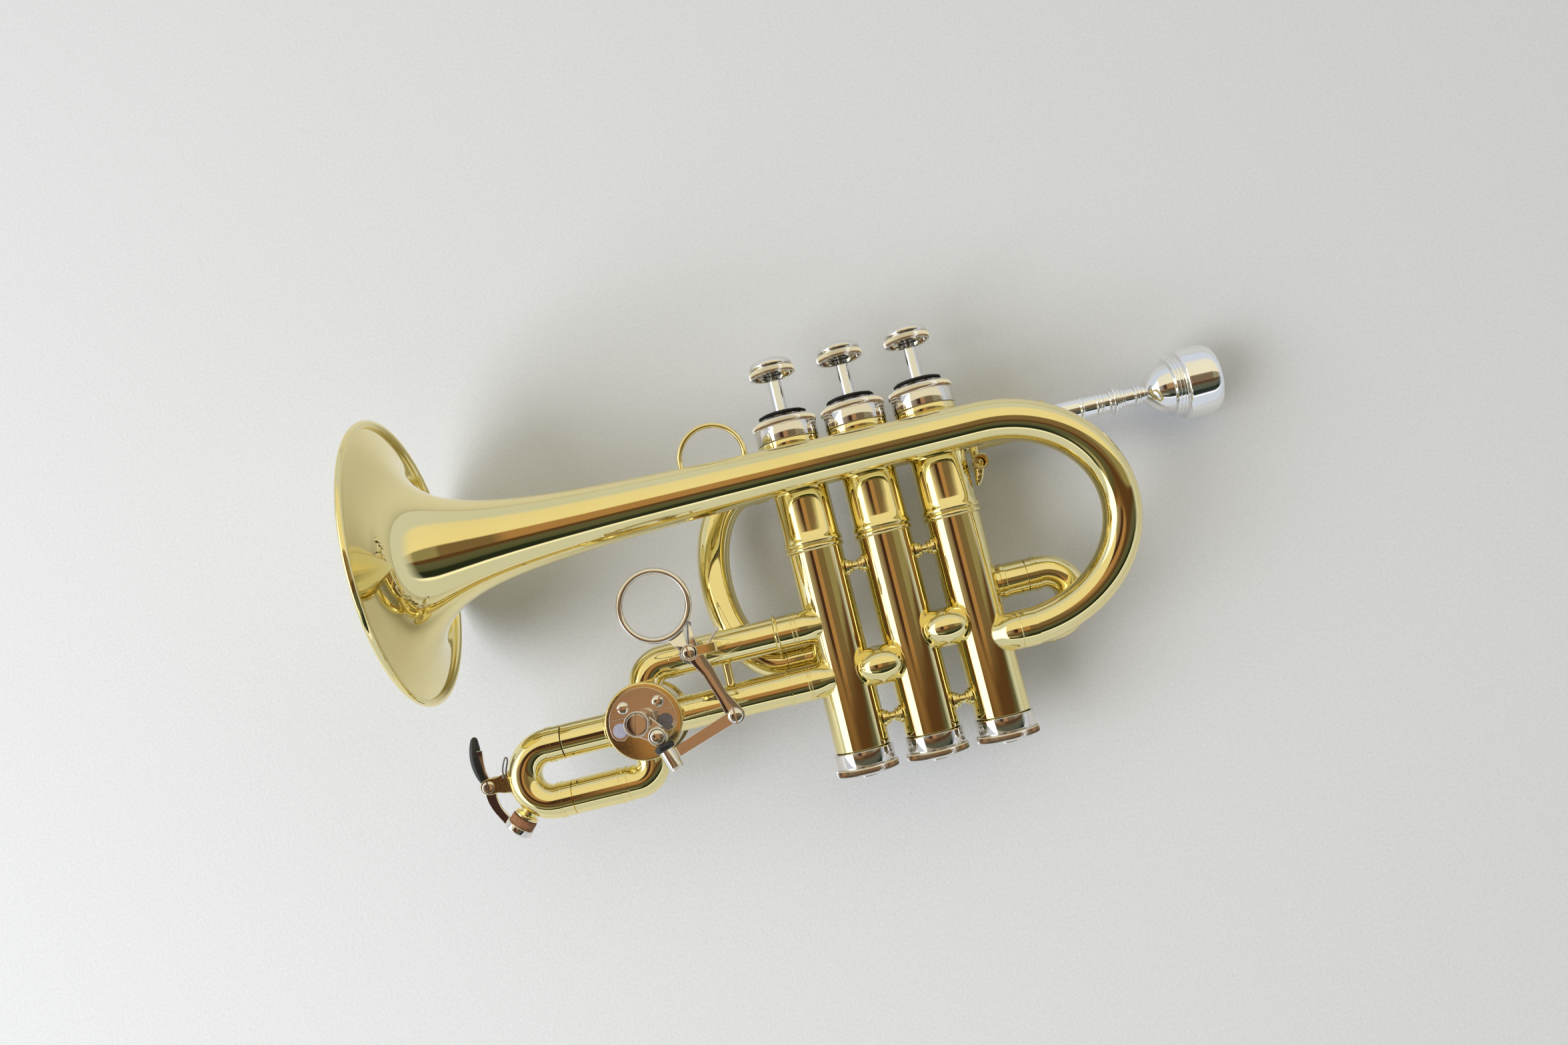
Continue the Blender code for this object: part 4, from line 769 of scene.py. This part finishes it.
lug = [(RX + 2.0 * math.cos(arm_dir), RY + 2.0 * math.sin(arm_dir))] + arc(RX, RY, 8.2, -61, -30, 10)
plate("stop_lug", NICKEL, "rotor", [], lug, 18.3, 21.3, (), 0.25)
lathe("stop_post", NICKEL, "rotor", [], [(2.6, 25.6), (2.95, 26.0), (2.95, 30.6), (2.7, 31.0)], (PX, PY, 0), (0, 0, 1), None, 56)
screw_head("axle_screw", NICKEL, "rotor", RX, RY, 29.2, 3.36, 1.55, 0.12, [80], 0.76, 0.6, (), 64)

# ------------------------------------------------------------------ rotary valve slide and water key
lathe("rs_tube", BRASS_X, "body", ["rotor_slide_tube"],
      [(5.75, -125.05), (6.0, -124.9), (6.0, -109.6), (6.3, -109.4), (6.35, -108.9), (6.1, -108.6), (5.9, -105.0)],
      (0, -72.3, ZB), (1, 0, 0), [(5.45, -125.05), (5.45, -105.0)], 72, None, 0.1)
pts = [(-96.3, -81.0, ZB)] + [(x, y, ZB) for x, y in arc(-102.7, -85.1, 6.4, 0, -90, 32)]
rad = [5.8] * 34
stepped(pts, rad, -91.5, ZB, [(-105.9, 5.85), (-106.0, 6.1), (-106.5, 6.1), (-106.55, 5.95), (-108.6, 5.95), (-108.65, 6.2),
                              (-109.3, 6.2), (-109.35, 6.0), (-125.0, 6.0), (-125.15, 5.8)])
tube("rs_elbow", BRASS_X, "body", ["rotor_slide_elbow"], pts, rad, 64)
up = [(-114.0, 5.2), (-125.1, 5.2), (-125.3, 5.75), (-125.35, 6.0), (-128.8, 6.0), (-128.85, 6.22), (-129.3, 6.22), (-129.35, 6.02),
      (-130.1, 6.02), (-130.15, 6.2), (-130.7, 6.2), (-130.75, 5.9)]
pts, rad = [], []
stepped(pts, rad, -72.3, ZB, up)
pts += [(x, y, ZB) for x, y in arc(-131.3, -81.9, 9.6, 90, 270, 56)]
rad += [5.9] * 57
stepped(pts, rad, -91.5, ZB, list(reversed(up)))
tube("rs_bow", BRASS, "rotor_slide", ["rotor_slide_bow"], pts, rad, 64)
SD = (-0.700, -0.714, 0.0)
SC = (-131.3, -81.9, ZB)
lathe("key_nipple", BRASS, "rotor_slide", [], [(2.9, 14.5), (2.9, 15.8), (4.1, 16.3), (4.25, 16.7), (4.2, 17.3), (1.6, 17.45), (1.5, 17.3),
                                              (1.5, 16.0)], SC, SD, None, 56, None, 0.12)
KX, KY = -153.1, -81.5
saddle_outline = [(-146.4, -78.6), (-146.4, -84.4), (-150.4, -84.0), (-153.0, -84.1), (-155.1, -83.2), (-155.9, -81.4), (-155.2, -79.6),
                  (-153.2, -78.7), (-150.4, -78.8)]
plate("saddle_top", BRASS_CAP, "rotor_slide", ["water_key_saddle"], smooth_outline(saddle_outline), 8.4, 9.5, (), 0.18)
plate("saddle_bottom", BRASS_CAP, "rotor_slide", [], smooth_outline(saddle_outline), 2.4, 3.5, (), 0.18)
plate("saddle_web", BRASS_CAP, "rotor_slide", [], [(-145.6, -78.2), (-145.6, -84.9), (-147.3, -84.9), (-147.3, -78.2)], 2.6, 9.4, (), 0.25)
plate("saddle_foot", BRASS_CAP, "rotor_slide", [], [(-144.9, -77.2), (-144.9, -86.0), (-146.2, -85.6), (-146.2, -77.6)], 1.6, 8.8, (), 0.35)
screw_head("key_screw", NICKEL, "rotor_slide", KX, KY, 9.4, 2.05, 0.7, 0.3, [90], 0.55, 0.6)
lathe("key_barrel", NICKEL, "water_key", ["water_key_lever"], [(2.1, 4.0), (2.1, 8.0)], (KX, KY, 0), (0, 0, 1), None, 48)
cup_at = [SC[k] + SD[k] * 22.9 for k in range(3)]
lower = catmull([(-153.6, -82.0, 6.0), (-153.6, -85.6, 6.0), (-152.4, -89.6, 6.0), (-150.2, -93.6, 6.0), tuple(cup_at)], 8)
strip("key_cup_arm", NICKEL, "water_key", [], lower, [2.1 - 0.6 * min(1.0, k / 20) for k in range(len(lower))], 1.5, (0.92, 0.38, 0.0), 0.3)
upper = catmull([(-153.6, -81.0, 6.0), (-154.6, -77.6, 6.2), (-154.75, -73.4, 6.6), (-154.5, -70.2, 6.9), (-154.3, -68.6, 7.0)], 8)
strip("key_thumb_arm", NICKEL, "water_key", [], upper, [1.5 - 0.55 * min(1.0, k / 12) for k in range(len(upper))], 1.3, (1.0, 0.0, 0.0), 0.3)
lathe("key_cup", NICKEL, "water_key", [], [(4.75, 20.55), (5.0, 20.8), (5.0, 22.6), (4.7, 23.1), (3.4, 23.4), (1.4, 23.5)], SC, SD, None, 64,
      None, 0.25)
lathe("key_cork", CORK, "water_key", ["water_key_cork"], [(4.3, 17.6), (4.5, 18.0), (4.5, 20.6)], SC, SD, None, 64)
pad, prad = [], []
for k in range(25):
    t = k / 24
    yy = -64.2 - 15.6 * t
    pad.append((-155.75 - 0.9 * math.sin(math.pi * t) + 0.5 * t, yy, 6.0))
    prad.append(2.12 * (math.sin(math.pi * (0.06 + 0.88 * t)) ** 0.42))
tube("key_thumb_pad", BLACK, "water_key", [], [(pad[0][0], pad[0][1] + 0.5, 6.0)] + pad + [(pad[-1][0], pad[-1][1] - 0.5, 6.0)],
     [0.35] + prad + [0.35], 40, 60)
wire = catmull([(-147.2, -79.6, 9.9), (-146.9, -76.6, 10.2), (-145.6, -73.6, 10.6), (-144.9, -72.9, 10.4), (-144.7, -74.0, 10.0),
                (-145.9, -77.0, 9.7), (-146.4, -79.4, 9.6)], 6)
tube("key_spring", STEEL, "rotor_slide", [], wire, 0.3, 12)

# ------------------------------------------------------------------ trigger
# the flange is bent round the tube: every point is laid on the tube's surface
fl, count_u, count_v = [], 56, 16
for iu in range(count_u + 1):
    x = -83.0 + 27.5 * iu / count_u
    half = 4.3 * (1 - abs(x + 69.3) / 13.8) ** 0.85 if abs(x + 69.3) < 13.8 else 0.0
    for iv in range(count_v + 1):
        ang = half * (2 * iv / count_v - 1) / 6.0
        fl.append((x, -53.7 + 6.42 * math.sin(ang), 6.0 + 6.42 * math.cos(ang)))
bm = bmesh.new()
vs = [bm.verts.new(P(*q)) for q in fl]
for iu in range(count_u):
    for iv in range(count_v):
        a = iu * (count_v + 1) + iv
        bm.faces.new((vs[a], vs[a + 1], vs[a + count_v + 2], vs[a + count_v + 1]))
bmesh.ops.remove_doubles(bm, verts=bm.verts, dist=1e-6)
bmesh.ops.recalc_face_normals(bm, faces=bm.faces)
if sum(f.normal.z for f in bm.faces) < 0:
    bmesh.ops.reverse_faces(bm, faces=bm.faces)
finish_mesh("trigger_flange", bm, BRASS_X, "body", ["trigger_post"], 0.0, 0.55)
TX, TY = -73.3, -53.2
lathe("trigger_column", BRASS, "body", [], [(4.2, 11.9), (3.7, 12.9), (3.0, 13.5), (2.9, 14.2), (2.9, 27.15), (1.2, 27.2), (1.2, 29.3)],
      (TX, TY, 0), (0, 0, 1), None, 56)
coil = [(TX + 3.45 * math.cos(math.tau * k / 24), TY + 3.45 * math.sin(math.tau * k / 24), 21.4 + 0.95 * k / 24) for k in range(24 * 5 + 1)]
tube("trigger_spring", STEEL, "body", [], coil, 0.42, 12)
tube("trigger_spring_leg", NICKEL, "body", [], [(-70.2, -54.7, 26.0), (-66.34, -51.33, 28.0), (-62.9, -47.72, 28.0), (-62.69, -47.5, 28.0)],
     [0.44, 0.44, 0.44, 0.3], 16)
ellipsoid("trigger_spring_tip", NICKEL, "body", [], (-62.75, -47.56, 28.0), (0.62, 0.62, 0.62), 14, 20)
tube("trigger_wire", STEEL, "trigger", [], catmull([(-73.15, -51.0, 28.95), (-72.7, -48.0, 29.05), (-71.9, -44.4, 29.1), (-71.35, -43.3, 28.9),
                                                    (-70.95, -43.9, 28.7), (-71.3, -44.9, 28.3)], 6), 0.3, 12)
arm = [(TX + 0.6, TY, 29.5), (TX + 2.6, TY, 29.5), (-65.6, TY, 29.5), (-64.9, TY, 29.35), (-64.55, TY, 28.95), (-64.45, TY, 28.2),
       (-64.45, TY, 20.0), (-64.45, TY, 12.6)]
strip("trigger_bracket", BRASS_CAP, "body", [], arm, [1.55] * 8, 1.0, (0, 1, 0), 0.14, 30)
lathe("trigger_eye", BRASS_CAP, "body", [], [(2.5, 29.0), (2.65, 29.15), (2.65, 29.85), (2.5, 30.0)], (TX, TY, 0), (0, 0, 1), None, 56,
      None, 0.12)
loop_wire("pivot_wire", NICKEL, "body", [(x, y, 30.1) for x, y in arc(TX, TY, 2.55, 0, 352.5, 47)], 0.2, 10)
screw_head("pivot_screw", NICKEL, "body", TX, TY, 29.9, 2.05, 0.75, 0.45, [101], 0.5, 0.65)

LT = 28.7
Lw, It, nL, nR = (-79.45, -47.55, LT - 0.75), (-73.9, -45.2, LT - 0.75), (-73.6, -50.2, LT), (-72.9, -50.2, LT)
aL, aR, rt, lb = (-71.95, -43.3, LT), (-71.15, -43.7, LT), (-70.32, -51.38, LT), (-76.06, -52.48, LT)
sL, sR, f1L, f1R = (-73.79, -56.38, LT), (-68.65, -55.60, LT), (-70.70, -61.58, LT), (-66.91, -59.81, LT)
f2L, f2R = (-67.58, -70.71, LT - 0.9), (-64.50, -68.44, LT - 0.9)
end = [(x, y, LT - 0.9) for x, y in arc(-63.2, -76.4, 2.95, 20, -160, 20)]
mid_l = [tuple(np.array(nL) * (1 - t) + np.array(It) * t) for t in (0.0, 1.0)]
folded_sheet("lever_sheet", NICKEL, "trigger", ["trigger_lever"],
             [[Lw, It, nL, lb], [lb, nL, nR, rt, sR, sL], [nR, aL, aR, rt], [sL, sR, f1R, f1L], [f1L, f1R, f2R, f2L], [f2L, f2R] + end],
             1.2)
ring_pts = [(x, y) for x, y in arc(-81.45, -35.4, 11.5, 0, 357.5, 143)]
rv, rf = [], []
for x, y in ring_pts:
    ux, uy = (x + 81.45) / 11.5, (y + 35.4) / 11.5
    for k in range(20):
        a = math.tau * k / 20
        # oval band: flat inside, round outside, taller than thick
        rr = 1.12 * (abs(math.cos(a)) ** 0.85) * math.copysign(1, math.cos(a))
        zz = 1.2 * (abs(math.sin(a)) ** 0.85) * math.copysign(1, math.sin(a))
        rv.append(P(x + ux * rr, y + uy * rr, 28.1 + zz))
for i in range(len(ring_pts)):
    j = (i + 1) % len(ring_pts)
    for k in range(20):
        k2 = (k + 1) % 20
        rf.append((i * 20 + k, i * 20 + k2, j * 20 + k2, j * 20 + k))
add_object("lever_finger_ring", rv, rf, NICKEL, "trigger", [], 60)

LX, LY = -63.2, -76.4
bd = Vector((0.32, -0.948, 0.0)).normalized()
across = Vector((-bd.y, bd.x, 0.0))
start = Vector((PX, PY, 0.0)) + bd * 7.6
bar_dir = Vector((LX - start.x, LY - start.y, 0.0)).normalized()
side = Vector((-bar_dir.y, bar_dir.x, 0.0))
ang = math.degrees(math.atan2(bar_dir.y, bar_dir.x))
bar = [(start.x - 1.8 * side.x, start.y - 1.8 * side.y)] + arc(LX, LY, 2.05, ang - 90, ang + 90, 20)
bar += [(start.x + 1.8 * side.x, start.y + 1.8 * side.y)]
plate("link_bar", PLATE, "trigger_link", ["trigger_link"], bar, 28.1, 29.2, (), 0.15)
BZ = 31.5
lathe("link_barrel", NICKEL, "trigger_link", [], [(2.45, 5.2), (2.55, 5.4), (2.55, 11.4), (2.4, 11.6), (2.4, 11.75), (2.5, 11.9), (2.5, 12.1),
                                                 (2.2, 12.4), (1.3, 12.5), (0.9, 12.45), (0.9, 11.2)], (PX, PY, BZ), tuple(bd), None, 56, None, 0.15)
lathe("link_saddle", NICKEL, "trigger_link", [], [(1.7, 5.6), (1.9, 5.8), (1.9, 10.6), (1.7, 10.8)], (PX, PY, 29.6), tuple(bd), None, 32)
lathe("link_insert", BLACK, "trigger_link", [], [(2.9, 2.95), (3.4, 3.5), (3.45, 4.2), (3.3, 5.0), (2.8, 5.35)], (PX, PY, BZ), tuple(bd), None,
      56, lambda j, a: 0.12 * math.sin(3 * a) if 1 < j < 16 else 0.0, 0.4)
lathe("link_eye", NICKEL, "trigger_link", [], [(2.8, 31.25), (3.05, 31.5), (3.05, 33.0), (2.85, 33.4), (2.5, 33.5), (2.4, 33.3), (2.4, 32.6)],
      (PX, PY, 0), (0, 0, 1), None, 64, None, 0.12)
screw_head("eye_screw", NICKEL, "trigger_link", PX, PY, 32.5, 2.3, 0.65, 0.6, [35, 125], 0.62, 0.75)
lathe("link_shank", NICKEL, "trigger_link", [], [(0.95, 25.9), (0.95, 28.3)], (LX, LY, 0), (0, 0, 1), None, 32)
screw_head("link_screw", NICKEL, "trigger_link", LX, LY, 29.15, 2.55, 0.8, 1.05, [92], 0.55, 0.9)

# ------------------------------------------------------------------ floor, light, camera
floor_mat = bpy.data.materials.new("studio_floor")
floor_mat.use_nodes = True
nt = floor_mat.node_tree
bs = nt.nodes["Principled BSDF"]
bs.inputs["Roughness"].default_value = 0.85
tc = nt.nodes.new("ShaderNodeTexCoord")
no = nt.nodes.new("ShaderNodeTexNoise")
no.inputs["Scale"].default_value = 900.0
no.inputs["Detail"].default_value = 4.0
nt.links.new(tc.outputs["Object"], no.inputs["Vector"])
cr = nt.nodes.new("ShaderNodeValToRGB")
cr.color_ramp.elements[0].position = 0.3
cr.color_ramp.elements[0].color = (0.70, 0.73, 0.79, 1)
cr.color_ramp.elements[1].position = 0.7
cr.color_ramp.elements[1].color = (0.75, 0.78, 0.84, 1)
nt.links.new(no.outputs["Fac"], cr.inputs["Fac"])
nt.links.new(cr.outputs["Color"], bs.inputs["Base Color"])
fb = nt.nodes.new("ShaderNodeBump")
fb.inputs["Strength"].default_value = 0.25
fb.inputs["Distance"].default_value = 0.0005
nt.links.new(no.outputs["Fac"], fb.inputs["Height"])
nt.links.new(fb.outputs["Normal"], bs.inputs["Normal"])
bpy.ops.mesh.primitive_grid_add(size=3.0, x_subdivisions=8, y_subdivisions=8, location=(0, 0, -0.0002))
floor = bpy.context.object
floor.name = "floor"
floor.data.materials.append(floor_mat)


def area(name, loc, size, energy, color=(1, 1, 1), look=(0, 0, 0)):
    data = bpy.data.lights.new(name, "AREA")
    data.shape = "RECTANGLE"
    data.size, data.size_y = size
    data.energy = energy
    data.color = color
    o = bpy.data.objects.new(name, data)
    o.location = loc
    o.rotation_mode = "QUATERNION"
    o.rotation_quaternion = (Vector(look) - Vector(loc)).to_track_quat("-Z", "Y")
    o.visible_glossy = False
    bpy.context.scene.collection.objects.link(o)


area("key", (-1.0, -0.3, 0.9), (0.9, 0.9), 12.0, (1.0, 0.99, 0.97))

# The surroundings: a pale studio, a tall bright window to the left, a cream wall behind and a dark
# band of room in front, laid out by the direction's two angles off the zenith.
world = bpy.data.worlds.new("studio")
bpy.context.scene.world = world
world.use_nodes = True
wn = world.node_tree
bg = wn.nodes["Background"]
wtc = wn.nodes.new("ShaderNodeTexCoord")
sep = wn.nodes.new("ShaderNodeSeparateXYZ")
wn.links.new(wtc.outputs["Generated"], sep.inputs["Vector"])


def math_node(op, a, b=None, clamp=False):
    m = wn.nodes.new("ShaderNodeMath")
    m.operation = op
    m.use_clamp = clamp
    for k, v in enumerate((a, b)):
        if v is None:
            continue
        if isinstance(v, (int, float)):
            m.inputs[k].default_value = v
        else:
            wn.links.new(v, m.inputs[k])
    return m.outputs[0]


def angle_share(component):
    """Angle off the zenith towards an axis, from -90..90 degrees to 0..1."""
    return math_node("ADD", math_node("MULTIPLY", math_node("ARCTAN2", component, sep.outputs["Z"]), 1.0 / math.pi), 0.5, True)


TA, TB = angle_share(sep.outputs["Y"]), angle_share(sep.outputs["X"])


def pos(deg):
    return (deg + 90.0) / 180.0


def colour_ramp(source, stops):
    r = wn.nodes.new("ShaderNodeValToRGB")
    r.color_ramp.interpolation = "LINEAR"
    els = r.color_ramp.elements
    els[0].position, els[0].color = pos(stops[0][0]), (*stops[0][1], 1)
    els[1].position, els[1].color = pos(stops[-1][0]), (*stops[-1][1], 1)
    for deg, col in stops[1:-1]:
        e = els.new(pos(deg))
        e.color = (*col, 1)
    wn.links.new(source, r.inputs["Fac"])
    return r.outputs["Color"]


def mask(source, stops):
    return colour_ramp(source, [(d, (v, v, v)) for d, v in stops])


def blend(share, under, over):
    m = wn.nodes.new("ShaderNodeMixRGB")
    for k, v in ((0, share), (1, under), (2, over)):
        if isinstance(v, tuple):
            m.inputs[k].default_value = (*v, 1)
        else:
            wn.links.new(v, m.inputs[k])
    return m.outputs[0]


def times(a, b):
    return math_node("MULTIPLY", a, b)


PALE = (0.66, 0.70, 0.76)
CREAM = (0.92, 0.83, 0.57)
left = colour_ramp(TA, [(-75, PALE), (-57, PALE), (-55.5, (1.2, 1.2, 1.2)), (-52.5, (1.2, 1.2, 1.2)), (-51, (0.03, 0.035, 0.03)),
                        (-46, (0.03, 0.035, 0.03)), (-43, (0.12, 0.13, 0.09)), (-36, (0.55, 0.50, 0.33)), (-33, (0.16, 0.14, 0.09)),
                        (-26, (0.10, 0.11, 0.07)), (-21, (0.14, 0.07, 0.03)), (-14, (0.30, 0.17, 0.08)), (-10, (0.42, 0.26, 0.14)),
                        (0, (0.55, 0.40, 0.24)), (8, (0.62, 0.48, 0.28)), (12, CREAM), (56, (0.86, 0.80, 0.60)), (64, PALE), (80, PALE)])
right = colour_ramp(TA, [(-75, PALE), (-60, PALE), (-57, (1.2, 1.2, 1.2)), (-54, (1.2, 1.2, 1.2)), (-52, (0.02, 0.025, 0.02)),
                         (-40, (0.02, 0.03, 0.02)), (-36, (0.09, 0.10, 0.07)), (-24, (0.12, 0.12, 0.08)), (-18, (0.10, 0.05, 0.025)),
                         (-13, (0.12, 0.06, 0.03)), (-9, (0.30, 0.20, 0.12)), (0, (0.34, 0.25, 0.15)), (8, (0.40, 0.30, 0.17)),
                         (12, CREAM), (56, (0.86, 0.80, 0.60)), (64, PALE), (80, PALE)])
layers = blend(mask(TB, [(-25, 0.0), (-2, 1.0)]), left, right)
zenith = colour_ramp(TB, [(-48, (0.40, 0.36, 0.30)), (-32, (0.29, 0.22, 0.16)), (-26, (0.20, 0.13, 0.09)), (-23, (0.056, 0.027, 0.02)),
                          (-14, (0.056, 0.027, 0.02)), (-11, (0.43, 0.24, 0.115)), (2, (0.43, 0.24, 0.115)), (5, (0.20, 0.14, 0.08)),
                          (30, (0.20, 0.14, 0.08)), (34, (0.30, 0.27, 0.16)), (60, (0.30, 0.27, 0.16)), (66, (0.51, 0.43, 0.31))])
layers = blend(mask(TA, [(-14, 0.0), (-11, 1.0), (9, 1.0), (12, 0.0)]), layers, zenith)
# beyond the ends of the band the room is pale again
layers = blend(times(mask(TB, [(-60, 1.0), (-46, 0.0), (62, 0.0), (78, 1.0)]), 1.0), layers, PALE)
window = times(mask(TB, [(-89, 1.0), (-50, 1.0), (-47, 0.0)]), mask(TA, [(-50, 0.0), (-45, 1.0), (45, 1.0), (50, 0.0)]))
layers = blend(window, layers, (2.0, 2.1, 2.2))
below = math_node("MULTIPLY", sep.outputs["Z"], 12.0, True)
wn.links.new(blend(below, PALE, layers), bg.inputs["Color"])
bg.inputs["Strength"].default_value = 1.0

R = ((0.9717, -0.2335, -0.0352), (0.2359, 0.9661, 0.1053), (0.0094, -0.1106, 0.9938))
cam_data = bpy.data.cameras.new("camera")
cam_data.sensor_width = 36.0
cam_data.lens = 36.0 * 1700.0 / 2352.0
cam = bpy.data.objects.new("camera", cam_data)
bpy.context.scene.collection.objects.link(cam)
rot = Matrix(R).transposed()
cam.matrix_world = Matrix.Translation(P(-29.61, -60.29, 401.5)) @ rot.to_4x4()
cam_data.clip_start, cam_data.clip_end = 0.01, 20.0
bpy.context.scene.camera = cam
bpy.context.scene.view_settings.view_transform = "Standard"
